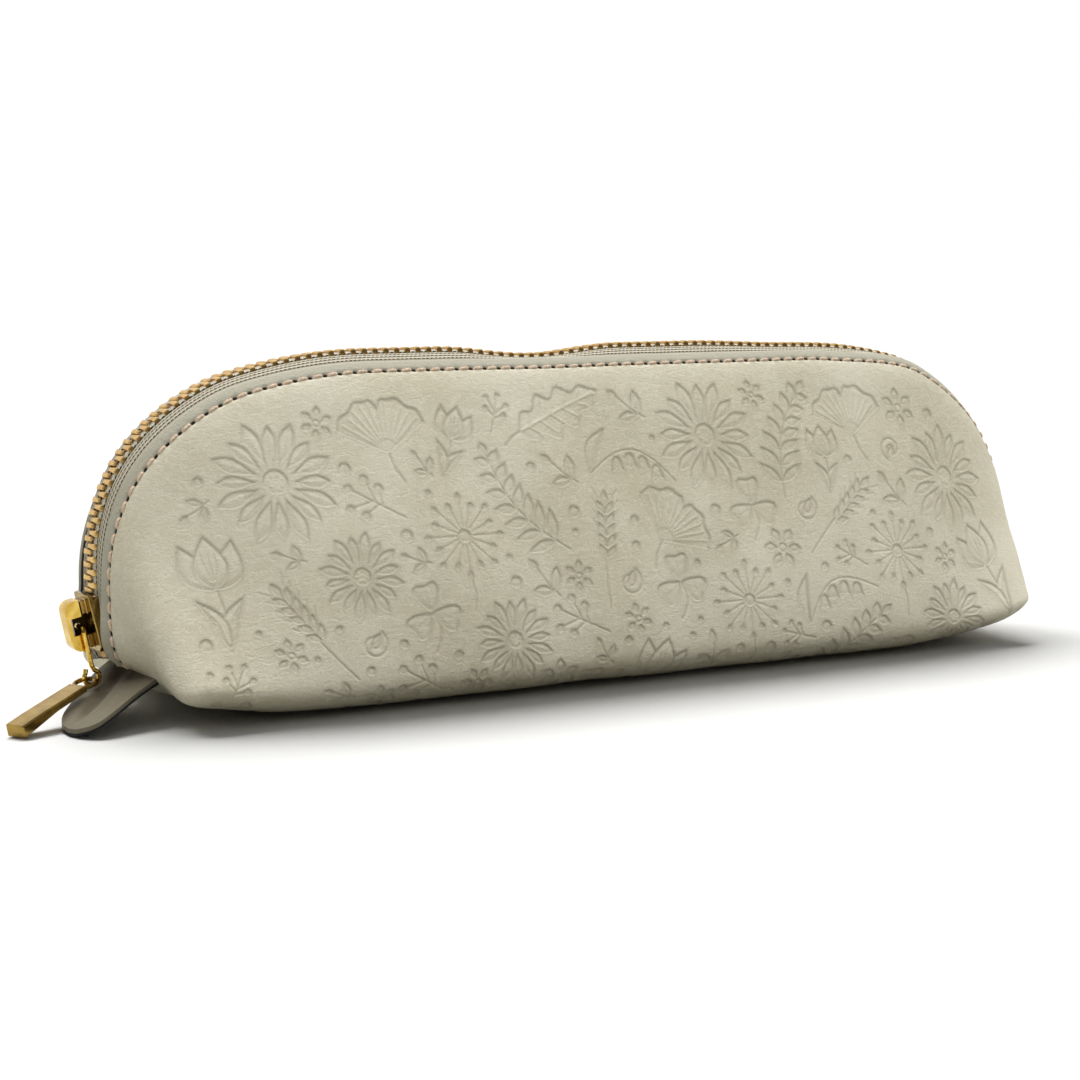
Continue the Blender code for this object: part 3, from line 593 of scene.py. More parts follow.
def score(line, depth=None, width=None):
    """Presses a thin line into the plate, no deeper where lines cross."""
    depth = depth or plate.line_depth
    width = width or plate.line_width
    line = np.asarray(line, float)
    window, u, v = plate.window(line, 3 * width)
    if u.size == 0 or v.size == 0:
        return
    nearest, _ = distance_to(line, u, v, False)
    mark = np.exp(-(nearest / width) ** 2)
    plate.depths[window] = np.minimum(plate.depths[window], -depth * mark)
    # The line is darkened too, partly burnish and partly painted shade
    plate.lines[window] = np.maximum(plate.lines[window], 0.8 * mark)


def raise_line(line, depth=0.15, width=0.22):
    """Leaves a thin ridge standing in a pressed shape."""
    line = np.asarray(line, float)
    window, u, v = plate.window(line, 3 * width)
    if u.size == 0 or v.size == 0:
        return
    nearest, _ = distance_to(line, u, v, False)
    mark = np.exp(-(nearest / width) ** 2)
    plate.depths[window] = np.minimum(plate.depths[window] + depth * mark, 0.0)
    # The ridge is darkened a little, partly burnish and partly painted shade
    plate.lines[window] = np.maximum(plate.lines[window], 0.35 * mark)


def spot(points, place, size=1.0, turn=0.0):
    """Moves a drawing to its place on the plate, at a size and a turn in degrees."""
    angle = math.radians(turn)
    spin = np.array([[math.cos(angle), math.sin(angle)], [-math.sin(angle), math.cos(angle)]])
    return np.asarray(points, float) * size @ spin + np.asarray(place, float)


def disc(radius, count=20):
    angle = np.linspace(0.0, 2 * math.pi, count, endpoint=False)
    return np.stack([radius * np.cos(angle), radius * np.sin(angle)], axis=-1)


def leaf(length, width, blunt=0.5, bend=0.0, count=16):
    """A leaf outline from the origin along +X. A blunt share above a half moves its belly outward."""
    share = np.linspace(0.0, 1.0, count)
    belly = np.sin(math.pi * share ** (math.log(0.5) / math.log(blunt)))
    middle = bend * length * np.sin(math.pi * share)
    x = np.concatenate([share, share[-2:0:-1]]) * length
    y = np.concatenate([middle + belly * width / 2, (middle - belly * width / 2)[-2:0:-1]])
    return np.stack([x, y], axis=-1)


def stem(length, bend, count=12):
    share = np.linspace(0.0, 1.0, count)
    return np.stack([share * length, bend * length * np.sin(math.pi * share)], axis=-1)


def star_flower(place, size, turn, points=8):
    """Narrow pointed petals in two rings round a dotted heart."""
    for ring, reach, wide in ((0.5, 1.0, 0.34), (0.0, 0.86, 0.3)):
        for number in range(points):
            heading = turn + (number + ring) * 360 / points
            petal = leaf(reach * 0.37, wide * 0.36, blunt=0.6) + (0.13, 0.0)
            press(spot(petal, place, size, heading))
            raise_line(spot([(0.20, 0.0), (0.30, 0.0), (0.38, 0.0)], place, size, heading), 0.05)
    press(spot(disc(0.10), place, size), hollow=0.3)
    for number in range(7):
        heading = math.radians(turn + number * 360 / 7)
        seed = np.asarray(place) + size * 0.055 * np.array([math.cos(heading), math.sin(heading)])
        raise_line([seed, seed + 0.05], 0.16, 0.2)


def small_star(place, size, turn, points=6):
    """A small blossom of pointed petals round a ring."""
    for number in range(points):
        heading = turn + number * 360 / points
        press(spot(leaf(0.36, 0.22, blunt=0.52) + (0.14, 0.0), place, size, heading), hollow=0.75)
    score(spot(np.concatenate([disc(0.09, 12), disc(0.09, 12)[:1]]), place, size))


def tulip(place, size, turn):
    """A cup of three petals on a stem between two long leaves."""
    score(spot([(0.0, 0.0), (0.02, -0.25), (-0.02, -0.5)], place, size, turn), width=0.28)
    for heading, bend in ((62.0, 0.12), (112.0, -0.12)):
        blade = spot(leaf(0.48, 0.13, blunt=0.45, bend=bend), (-0.02, -0.5), 1.0, heading)
        press(spot(blade, place, size, turn))
        middle = [(0.05, 0.045 * bend * 8 / 2), (0.24, bend * 0.48), (0.4, 0.045 * bend * 8 / 2)]
        raise_line(spot(spot(middle, (-0.02, -0.5), 1.0, heading), place, size, turn), 0.10)
    for heading, wide in ((118.0, 0.24), (62.0, 0.24), (90.0, 0.28)):
        petal = leaf(0.46, wide, blunt=0.42, bend=0.10 if heading > 90 else -0.10 if heading < 90 else 0.0)
        press(spot(spot(petal, (0.0, 0.0), 1.0, heading), place, size, turn), hollow=0.8)
    for lean in (-0.05, 0.0, 0.05):
        score(spot([(0.3 * lean, 0.08), (lean, 0.2), (lean * 1.1, 0.3)], place, size, turn), 0.14, 0.2)


def fern(place, size, turn, pairs=7, bend=0.12):
    """A bent stem with pairs of leaflets that grow shorter towards its tip."""
    line = stem(1.0, bend, 2 * pairs + 3)
    for number in range(pairs):
        foot = line[2 * number + 2]
        heading = math.degrees(math.atan2(*(line[2 * number + 3] - line[2 * number + 1])[::-1]))
        length = 0.26 * (1.0 - 0.55 * number / pairs)
        for side in (-1, 1):
            leaflet = spot(leaf(length, 0.085, blunt=0.45), foot, 1.0, heading + side * 52)
            press(spot(leaflet, place, size, turn), hollow=0.4)
    press(spot(spot(leaf(0.12, 0.07), line[-2], 1.0, -18.0), place, size, turn), hollow=0.4)
    score(spot(line, place, size, turn))


def oak_leaf(place, size, turn, lobes=4):
    """A lobed leaf with raised veins on a short stalk."""
    share = np.linspace(0.0, 1.0, 61)
    lobe = 0.80 + 0.20 * np.cos(2 * math.pi * (share * lobes - 0.42))
    half = 0.235 * np.sin(math.pi * share ** 0.8) ** 0.7 * lobe
    outline = np.concatenate([np.stack([share, half], -1), np.stack([share, -half], -1)[-2:0:-1]])
    press(spot(outline, place, size, turn), hollow=0.25)
    raise_line(spot([(0.02, 0.0), (0.5, 0.01), (0.93, 0.0)], place, size, turn), 0.2, 0.24)
    for number in range(lobes + 2):
        foot = 0.12 + 0.145 * number
        reach = 0.17 * math.sin(math.pi * (foot + 0.12) ** 0.8)
        for side in (-1, 1):
            raise_line(spot([(foot, 0.0), (foot + 0.11, side * reach)], place, size, turn))
    score(spot([(0.02, 0.0), (-0.1, -0.01), (-0.2, -0.05)], place, size, turn), width=0.3)


def fan_leaf(place, size, turn):
    """A fan with a wavy rim, a cleft and raised ribs, on a short stalk."""
    angle = np.radians(np.linspace(-62.0, 62.0, 33))
    reach = 0.56 + 0.018 * np.cos(angle * 15) - 0.13 * np.exp(-(angle / 0.07) ** 2)
    rim = np.stack([reach * np.sin(angle), reach * np.cos(angle) - 0.1], axis=-1)
    press(spot(np.concatenate([[(0.0, -0.12)], rim]), place, size, turn), hollow=0.2)
    for number in range(-5, 6):
        heading = math.radians(number * 10.5)
        ends = [(share * math.sin(heading), share * math.cos(heading) - 0.1) for share in (0.14, 0.3, 0.5)]
        raise_line(spot(ends, place, size, turn))
    score(spot([(0.0, -0.12), (0.03, -0.28), (0.10, -0.42)], place, size, turn), width=0.3)


def clover(place, size, turn):
    """Three heart-shaped leaflets on a curled stalk."""
    angle = np.linspace(0.0, 2 * math.pi, 26, endpoint=False)
    cleft = 0.06 * np.exp(-(((angle + math.pi) % (2 * math.pi) - math.pi) / 0.4) ** 2)
    heart = np.stack([0.21 + 0.2 * np.cos(angle) - cleft,
                      0.2 * np.sin(angle) * (0.75 + 0.45 * np.cos(angle))], axis=-1)
    score(spot(stem(0.5, 0.18), place, size, turn - 100), width=0.28)
    for heading in (90.0, 210.0, 330.0):
        press(spot(spot(heart, (0.0, 0.0), 1.0, heading), place, size, turn), hollow=0.6)
        score(spot(spot([(0.08, 0.0), (0.28, 0.0)], (0.0, 0.0), 1.0, heading), place, size, turn), 0.16, 0.2)


def wheat(place, size, turn, pairs=5):
    """An ear of grain with fine beards."""
    score(spot(stem(1.0, 0.03), place, size, turn))
    for number in range(pairs):
        foot = (0.45 + 0.1 * number, 0.0)
        for side in (-1, 1):
            grain = spot(leaf(0.16, 0.07, blunt=0.5), foot, 1.0, side * 32)
            press(spot(grain, place, size, turn), hollow=0.5)
            beard = spot([(0.17, 0.0), (0.28, 0.02 * side)], foot, 1.0, side * 24)
            score(spot(beard, place, size, turn), 0.12, 0.18)
    press(spot(spot(leaf(0.16, 0.07), (0.93, 0.0)), place, size, turn), hollow=0.5)


def bells(place, size, turn, count=4):
    """A bowed stalk hung with small bells."""
    line = stem(1.0, 0.3, 14)
    score(spot(line, place, size, turn))
    bell = [(-0.075, -0.2), (-0.06, -0.13), (-0.05, -0.07), (-0.02, -0.035), (0.02, -0.035),
            (0.05, -0.07), (0.06, -0.13), (0.075, -0.2), (0.03, -0.18), (0.0, -0.21), (-0.03, -0.18)]
    for number in range(count):
        foot = line[4 + 2 * number]
        press(spot(spot(bell, foot, 1.0, -turn), place, size, turn), hollow=0.5)
    blade = spot(leaf(0.55, 0.14, bend=0.15), (0.0, 0.0), 1.0, 68.0)
    press(spot(blade, place, size, turn))


def berries(place, size, turn):
    """A forked twig with a round berry at each end."""
    tips = ((0.55, 0.0), (0.42, 0.24), (0.40, -0.22), (0.2, 0.22), (0.18, -0.2))
    for number, tip in enumerate(tips):
        fork = (0.04 + 0.05 * (4 - number), 0.0)
        score(spot([(-0.3, 0.0), fork, tip], place, size, turn))
    for tip in tips:
        press(spot(disc(0.062), spot([tip], place, size, turn)[0], size), hollow=0.3)


def seed_head(place, size, turn, rays=16):
    """A round seed head: fine rays from a small heart, each with a drop at its end."""
    for number in range(rays):
        heading = turn + number * 360 / rays
        reach = 0.36 if number % 2 else 0.44
        score(spot([(0.1, 0.0), (reach - 0.08, 0.0)], place, size, heading), 0.16, 0.2)
        press(spot(leaf(0.12, 0.065, blunt=0.62) + (reach - 0.09, 0.0), place, size, heading), hollow=0.2)
    press(spot(disc(0.075), place, size), hollow=0.4)
    score(spot([(0.0, -0.46), (0.03, -0.62), (0.0, -0.8)], place, size, 0.0))


def tendril(place, size, turn):
    """A curl that opens into a stalk with one leaf."""
    angle = np.linspace(0.0, 3.4 * math.pi, 40)
    reach = 0.04 + 0.24 * (angle / angle[-1]) ** 1.3
    curl = np.stack([reach * np.cos(angle), reach * np.sin(angle)], axis=-1)
    score(spot(curl, place, size, turn), width=0.26)
    press(spot(spot(leaf(0.36, 0.15), curl[-1], 1.0, 70.0), place, size, turn))


def twin_leaves(place, size, turn):
    """A short sprig of two leaves and a bud."""
    score(spot([(0.0, 0.0), (0.3, 0.03), (0.6, 0.0)], place, size, turn))
    for heading in (48.0, -48.0):
        leaflet = spot(leaf(0.44, 0.2, blunt=0.52), (0.12, 0.01), 1.0, heading)
        press(spot(leaflet, place, size, turn), hollow=0.35)
        vein = spot([(0.06, 0.0), (0.36, 0.0)], (0.12, 0.01), 1.0, heading)
        raise_line(spot(vein, place, size, turn), 0.12)
    press(spot(spot(leaf(0.26, 0.13), (0.58, 0.0)), place, size, turn), hollow=0.4)


def dot(place, size, turn):
    press(disc(size / 2, 16) + np.asarray(place), hollow=0.2)


large_flower = 25
# The kinds of drawing, roughly from the largest to the smallest: size in mm and how many at most
kinds = ((star_flower, large_flower, 3), (oak_leaf, 22, 4), (tulip, 23, 3), (fan_leaf, 20, 4), (fern, 27, 4),
         (seed_head, 19, 3), (star_flower, 18, 3), (bells, 20, 3), (wheat, 23, 3), (clover, 16, 4),
         (berries, 15, 5), (tulip, 16, 3), (twin_leaves, 12, 7), (tendril, 11, 4), (small_star, 9.5, 8),
         (berries, 10, 6), (small_star, 7, 9), (twin_leaves, 8, 8), (clover, 9, 4), (dot, 2.6, 12),
         (dot, 1.9, 16), (dot, 1.4, 20))
turn_limits = {tulip: (-28, 28), fan_leaf: (-50, 50), clover: (-40, 40), bells: (-15, 20), seed_head: (0, 0),
               wheat: (40, 140), fern: (0, 180), oak_leaf: (20, 200), berries: (0, 180)}
largest_dot = 4
smallest_main = 14
cells_in_room = 4
room_cell = trial_plate.cell * cells_in_room
room_size = trial_plate.size // cells_in_room
room_foot, room_foot_height = 103, -13
edge_margin = 6.6
under_height = 4.0
end_margin = 99
trial_place = (0.0, 20.0)
turns_tried = 9
pressed_enough = 0.02
across_range, up_range = (-100, 100), (-11, 61)
tries, dot_tries = 900, 150
least_room, dot_least_room = 1.2, 1.0
# What a place is worth: how near its neighbours are, how far its own like, and how little room is lost
far_off = 200
near_limit = 24
like_limit, like_weight = 60, 0.25
small_like_limit, small_like_weight = 34, 0.12
like_stretch = 1.2
lost_room_weight, small_lost_room_weight = 0.5, 0.2
small_room_weight = 0.6
low_flower_height, low_flower_cost = 8, 3
left_bells_limit = -80
dice = random.Random(5)


def room_around(free):
    """How many cells each free cell is away from the nearest one that is taken."""
    index = np.arange(free.shape[1])
    far = 10 ** 6
    before = np.maximum.accumulate(np.where(free, -far, index), axis=1)
    after = np.minimum.accumulate(np.where(free, far, index)[:, ::-1], axis=1)[:, ::-1]
    in_column = np.minimum(index - before, after - index) ** 2
    nearest = in_column.copy()
    for shift in range(1, min(math.isqrt(int(nearest.max())), free.shape[0] - 1) + 1):
        nearest[shift:] = np.minimum(nearest[shift:], in_column[:-shift] + shift * shift)
        nearest[:-shift] = np.minimum(nearest[:-shift], in_column[shift:] + shift * shift)
    return np.sqrt(nearest)


def room_index(places):
    return np.trunc((np.asarray(places) - plate_low) / room_cell).astype(int)


def free_room():
    """Cells of the panel that drawings may use, off the sewn edge and the two ends."""
    bend = np.radians(np.arange(-24.5, 76, 1.5))
    shoulder = np.radians(np.arange(76, 90.1, 1.0))
    left_x = np.concatenate([bend_centre_x / mm - bend_radius / mm * np.cos(bend),
                             shoulder_centre_x / mm - shoulder_radius / mm * np.cos(shoulder)])
    left_z = np.concatenate([bend_centre_height / mm + bend_radius / mm * np.sin(bend),
                             shoulder_centre_height / mm + shoulder_radius / mm * np.sin(shoulder)])
    arch = np.stack([np.concatenate([left_x, -left_x[::-1]]),
                     np.concatenate([left_z, left_z[::-1]]) * panel_slant], axis=-1)
    foot = [(room_foot, room_foot_height), (-room_foot, room_foot_height)]
    corners = room_index(np.concatenate([arch, foot]))
    inside = np.zeros(room_size, bool)
    for row in range(room_size[1]):
        crossings = []
        for (ax, ay), (bx, by) in zip(corners, np.roll(corners, -1, axis=0)):
            if ay == by == row:
                crossings += [ax, bx]
            elif min(ay, by) <= row <= max(ay, by):
                crossings.append(ax + (row - ay) * (bx - ax) / (by - ay))
        if crossings:
            first, last = math.floor(min(crossings) + 0.5), math.ceil(max(crossings) - 0.5)
            inside[first:last + 1, row] = True
    from_rim = room_around(np.pad(inside, 1))[1:-1, 1:-1] * room_cell
    u = plate_low[0] + (np.arange(room_size[0]) + 0.5) * room_cell
    v = plate_low[1] + (np.arange(room_size[1]) + 0.5) * room_cell
    off_edge = (from_rim > edge_margin) | (v[None, :] < under_height)
    return inside & off_edge & (np.abs(u)[:, None] < end_margin)


def footprints(draw, size):
    """The cells that a kind of drawing takes, at some turns of its own."""
    prints = []
    for _ in range(1 if draw is dot else turns_tried):
        turn = dice.uniform(*turn_limits.get(draw, (0, 360)))
        plate.clear()
        draw(trial_place, size, turn)
        used = np.abs(plate.depths[:room_size[0] * cells_in_room, :room_size[1] * cells_in_room])
        blocks = used.reshape(room_size[0], cells_in_room, room_size[1], cells_in_room).max((1, 3))
        prints.append((turn, np.argwhere(blocks > pressed_enough) - room_index(trial_place)))
    return prints


def merit(draw, size, place, clear, placed):
    """How well a drawing sits at a place: near its neighbours, and far from its own like."""
    x, y = place
    like_gaps = [math.hypot(x - px, (y - py) * like_stretch) for other, (px, py), wide, _ in placed
                 if other is draw and wide > largest_dot]
    alike = min(like_gaps + [far_off])
    if size > smallest_main:
        gaps = [math.hypot(x - px, y - py) for _, (px, py), wide, _ in placed if wide > smallest_main]
        low_flower = draw is star_flower and size == large_flower and y < low_flower_height
        worth = min(min(gaps + [far_off]), near_limit) + min(alike, like_limit) * like_weight
        return worth - lost_room_weight * clear.mean() - low_flower_cost * low_flower
    if size > largest_dot:
        worth = min(alike, small_like_limit) * small_like_weight + clear.min() * small_room_weight
        return worth - small_lost_room_weight * clear.mean()
    return clear.min()


def lay_out():
    """Sets out the drawings, the largest kinds first, each at the best of many free places."""
    free = free_room()
    placed = []
    for draw, size, count in kinds:
        prints = footprints(draw, size)
        for _ in range(count):
            best = None
            clearance = room_around(free) * room_cell
            for _ in range(tries if size > largest_dot else dot_tries):
                turn, cells = prints[dice.randrange(len(prints))]
                place = (dice.uniform(*across_range), dice.uniform(*up_range))
                taken = cells + room_index(place)
                if taken.min() < 0 or (taken >= room_size).any():
                    continue
                clear = clearance[taken[:, 0], taken[:, 1]]
                if clear.min() < (least_room if size > largest_dot else dot_least_room):
                    continue
                worth = merit(draw, size, place, clear, placed)
                if best is None or worth > best[0]:
                    best = (worth, place, turn, taken)
            if best is not None:
                _, place, turn, taken = best
                free[taken[:, 0], taken[:, 1]] = False
                placed.append((draw, (round(place[0], 1), round(place[1], 1)), size, round(turn)))
    return placed


# The bells would run into the fold at the left corner, so a twig of berries stands there
corner_twig = (berries, (-92.0, 7.0), 11, 60)
drawings = [corner_twig if drawing[0] is bells and drawing[1][0] < left_bells_limit else drawing
            for drawing in lay_out()]
plate = real_plate
for draw, place, size, turn in drawings:
    draw(place, size, turn)


def plate_at(values, u, v):
    """A plate value at panel places, read between the plate's cells."""
    i = np.clip((u - plate_low[0]) / plate.cell - 0.5, 0.0, plate.size[0] - 1.001)
    j = np.clip((v - plate_low[1]) / plate.cell - 0.5, 0.0, plate.size[1] - 1.001)
    i0, j0 = i.astype(int), j.astype(int)
    fi, fj = i - i0, j - j0
    low = values[i0, j0] * (1 - fi) + values[i0 + 1, j0] * fi
    high = values[i0, j0 + 1] * (1 - fi) + values[i0 + 1, j0 + 1] * fi
    return low * (1 - fj) + high * fj


stitch_line = 3.0 * mm
stitch_pitch = 3.2 * mm
stitch_groove = 0.16 * mm
stitch_groove_width = 0.5 * mm
hole_length = 0.66 * mm
hole_width = 0.36 * mm
hole_depth = 0.50 * mm
dent_depth = 0.55 * mm
dent_size = 31.0 * mm


def soft_noise(grid, size, seed):
    """A slow smooth unevenness over a grid of points, between about -1 and 1."""
    draw = random.Random(seed)
    total = np.zeros(grid.shape[:2])
    for _ in range(9):
        heading = np.array([draw.gauss(0, 1), draw.gauss(0, 1), draw.gauss(0, 1)])
        heading *= draw.uniform(0.6, 1.5) * 2 * math.pi / (np.linalg.norm(heading) * size)
        total += np.sin(grid @ heading + draw.uniform(0, 2 * math.pi))
    return total / 4.0


def sheet_faces(columns, rows, start=0):
    """Quads of a grid whose points are numbered column by column."""
    column, row = np.meshgrid(np.arange(columns - 1), np.arange(rows - 1), indexing="ij")
    a = (column * rows + row).ravel() + start
    return np.stack([a, a + rows, a + rows + 1, a + 1], axis=-1)


def make_mesh(name, points, faces, material, smooth=True, stored=None, strip=None):
    """An object from points and faces, with values stored at its points."""
    mesh = bpy.data.meshes.new(name)
    faces = faces.tolist() if isinstance(faces, np.ndarray) else faces
    mesh.from_pydata(np.asarray(points).tolist(), [], faces)
    mesh.materials.append(material)
    for label, values in (stored or {}).items():
        layer = mesh.attributes.new(label, "FLOAT", "POINT")
        layer.data.foreach_set("value", np.asarray(values, np.float32).ravel())
    if strip is not None:
        corners = np.zeros(len(mesh.loops), np.int32)
        mesh.loops.foreach_get("vertex_index", corners)
        layer = mesh.uv_layers.new(name="strip")
        layer.data.foreach_set("uv", np.asarray(strip, np.float32)[corners].ravel())
    if smooth:
        mesh.shade_smooth()
    made = bpy.data.objects.new(name, mesh)
    bpy.context.scene.collection.objects.link(made)
    return made


front_half = half_sheet(sheet_columns, front_panel_rows, 0.15 * mm, 0.0)
back_half = half_sheet(sheet_columns, back_panel_rows, 0.0, 0.9) * np.array([1.0, -1.0, 1.0])
face = np.concatenate([front_half, back_half[:, -2::-1]], axis=1)
face_normals = grid_normals(face)
down = run_down(face)
from_edge = np.minimum(down, down[:, -1:] - down)

is_side = np.zeros(face.shape[1], bool)
is_side[:edge_rows + front_panel_rows + 1] = True
is_side[-(edge_rows + back_panel_rows + 1):] = True
panel_u = face[..., 0] / mm
base_inward = (base_half_depth - np.abs(face[..., 1])) / mm
panel_v = np.where(is_side[None, :], face[..., 2] / mm * panel_slant, 4.0 - base_inward)
panel_v = np.minimum(panel_v, 73.0)
pattern = plate_at(plate.depths, panel_u, panel_v)
lines = plate_at(plate.lines, panel_u, panel_v)
fade = smoothstep((from_edge / mm - 4.2) / 0.8)
under_fade = np.where(is_side[None, :], 1.0, smoothstep(1.0 - (base_inward - 8.0) / 6.0))
pattern = pattern * fade * under_fade
lines = lines * fade * under_fade

stitch_row_places = np.array([[np.interp(stitch_line, run, points[:, axis]) for axis in range(3)]
                              for run, points in zip(down, face)])
stitch_run = np.concatenate([[0.0], np.cumsum(np.linalg.norm(np.diff(stitch_row_places, axis=0), axis=1))])
stitch_count = int(stitch_run[-1] / stitch_pitch)
stitch_step = stitch_run[-1] / stitch_count
to_hole = np.abs((stitch_run / stitch_step + 0.5) % 1.0 - 0.5) * stitch_step
hole_dimple = np.exp(-(to_hole[:, None] / hole_length) ** 2 - ((from_edge - stitch_line) / hole_width) ** 2)
groove = np.exp(-((from_edge - stitch_line) / stitch_groove_width) ** 2)
height = pattern * mm - stitch_groove * groove - hole_depth * hole_dimple
height += dent_depth * soft_noise(face, dent_size, 3) * smoothstep((from_edge - 4 * mm) / (12 * mm)) * 0.5
outer_face = face + face_normals * height[..., None]
outer_face[..., 2] = np.maximum(outer_face[..., 2], 0.0)

edge_profile = ((0.10, 0.02), (0.35, 0.05), (0.7, 0.05), (1.0, 0.0))


def rolled_edge(grid, normals, first, second):
    """Rows that carry the face round the sheet's cut edge to its inner side."""
    heading = grid[:, first] - grid[:, second]
    heading /= np.maximum(np.linalg.norm(heading, axis=1, keepdims=True), 1e-12)
    rows = []
    for depth, reach in edge_profile:
        inset = grid[:, first] - normals[:, first] * leather_thickness * depth
        rows.append(inset + heading * leather_thickness * reach)
    return rows


front_roll = rolled_edge(outer_face, face_normals, 0, 1)
back_roll = rolled_edge(outer_face, face_normals, -1, -2)
flange = 12
inner_face = outer_face - face_normals * leather_thickness
inner_front = [inner_face[:, row] for row in range(1, flange)]
inner_back = [inner_face[:, -1 - row] for row in range(1, flange)]
outer_rows = [outer_face[:, row] for row in range(face.shape[1])]
leather_grid = np.stack(inner_front[::-1] + front_roll[::-1] + outer_rows + back_roll + inner_back, axis=1)
lead = len(inner_front) + len(front_roll)


def spread(values):
    """Values on the sheet's face, carried on unchanged round its two edges."""
    ends = [np.repeat(values[:, :1], lead, axis=1), values, np.repeat(values[:, -1:], lead, axis=1)]
    return np.concatenate(ends, axis=1)


taupe = Finish("taupe_leather", Specular_IOR_Level=0.42)
stretched = taupe.node("ShaderNodeMapping", None, {0: taupe.place(), "Scale": (0.7, 1.0, 1.25)})
cloud = taupe.noise(30.0, 4.0, 0.6)
pebble = taupe.noise(900.0, 3.0, 0.5, where=stretched)
grit = taupe.noise(2600.0, 2.0, 0.5)
vein_field = taupe.noise(330.0, 3.0, 0.6, where=stretched, distortion=0.4)
veins = 1.0 - (vein_field - 0.5).reckon("ABSOLUTE").step(0.0, 0.05)
fine_veins = 1.0 - (pebble - 0.5).reckon("ABSOLUTE").step(0.0, 0.06)
pressed_burnish_and_shade = taupe.stored("lines")
hole_shade = taupe.stored("hole_shade")
# The band between the tape and the stitch line is darkened as painted shade
shaded_band = 1.0 - taupe.stored("edge").step(2.4, 3.4)
mottle = taupe.mix(cloud.step(0.35, 0.68), (0.518, 0.475, 0.356, 1.0), (0.618, 0.580, 0.461, 1.0))
veined = taupe.mix(veins * 0.24 + fine_veins * 0.20, mottle, (0.72, 0.69, 0.57, 1.0))
band_shaded = taupe.mix(shaded_band * 0.80, veined, (0.30, 0.285, 0.225, 1.0))
# The leather along the pressed drawings' lines is darkened, partly burnish from the hot plate and partly
# painted shade
line_shaded = taupe.mix(pressed_burnish_and_shade * 0.25, band_shaded, (0.26, 0.23, 0.165, 1.0))
# The needle holes are painted near black as painted shade over their shallow dimples
hole_shaded = taupe.mix(hole_shade.step(0.20, 0.55), line_shaded, (0.018, 0.013, 0.010, 1.0))
grain_bump = taupe.bump(pebble + grit * 0.6 - veins * 0.3 - fine_veins * 0.25, 0.00011)
taupe_leather = taupe.paint(Base_Color=hole_shaded, Roughness=0.52 + cloud * 0.10 - pressed_burnish_and_shade * 0.08,
                            Normal=grain_bump)

columns, rows_in_all = leather_grid.shape[:2]
leather_values = {"lines": spread(lines), "hole_shade": spread(hole_dimple), "edge": spread(from_edge / mm)}
leather = make_mesh("leather_sheet", leather_grid.reshape(-1, 3), sheet_faces(columns, rows_in_all),
                    taupe_leather, stored=leather_values)
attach(leather, "pouch")
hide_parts("leather_body")


# Lining
# A thin layer of black cloth is glued to the back of the leather, out to its
# cut edge, where it shows as a fine dark line.

lining_thickness = 0.5 * mm
lining_step = 5
lining_pick = np.arange(0, columns, lining_step)
last_row = face.shape[1] - 1
between_edges = np.arange(16, last_row - 15, 8)
row_pick = np.concatenate([[0, 4, 10], between_edges, [last_row - 10, last_row - 4, last_row]])


def closed_sheet(outer, inner):
    """Points and faces of a closed layer between two grids."""
    columns, rows = outer.shape[:2]
    count = columns * rows
    points = np.concatenate([outer.reshape(-1, 3), inner.reshape(-1, 3)])
    faces = [sheet_faces(columns, rows), sheet_faces(columns, rows, count)[:, ::-1]]
    numbers = np.arange(count).reshape(columns, rows)
    rim = np.concatenate([numbers[:, 0], numbers[-1, 1:], numbers[-2::-1, -1], numbers[0, -2:0:-1]])
    after = np.roll(rim, -1)
    faces.append(np.stack([rim, rim + count, after + count, after], axis=-1))
    return points, np.concatenate(faces)


black = Finish("black_lining", Roughness=0.75, Specular_IOR_Level=0.2)
weave = black.noise(900.0, 2.0)
black_tone = black.mix(weave, (0.008, 0.009, 0.010, 1.0), (0.022, 0.024, 0.026, 1.0))
black_lining = black.paint(Base_Color=black_tone, Normal=black.bump(weave, 0.0001))
lining_face = face[lining_pick][:, row_pick]
lining_normals = face_normals[lining_pick][:, row_pick]
lining_from_edge = from_edge[lining_pick][:, row_pick][..., None]
lining_drop = 0.9 * mm * smoothstep((lining_from_edge - 3.0 * mm) / (4.0 * mm))
lining_outer = lining_face - lining_normals * (leather_thickness + 0.02 * mm + lining_drop)
lining_inner = lining_outer - lining_normals * lining_thickness
lining_points, lining_faces = closed_sheet(lining_outer, lining_inner)
lining = make_mesh("lining_sheet", lining_points, lining_faces, black_lining)
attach(lining, "pouch")
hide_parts("body_lining")


# Zip tapes
# Two strips of grey beige herringbone tape. Each comes from under the sheet's
# edge and ends in a bead cord that the teeth are clamped on.

tape_thickness = 0.5 * mm
tape_columns = 700
tape_inner_reach = 2.60 * mm
tape_inner_lift = 0.42 * mm
tape_bow = 0.30 * mm
cord_reach = 2.10 * mm
cord_radius = 0.84 * mm
cord_lift = 0.12 * mm
cord_sides = 10
rib_pitch = 0.60 * mm
dash_pitch = 0.95 * mm
tilt_slope = 0.10
tilt_blend = 20.0 * mm

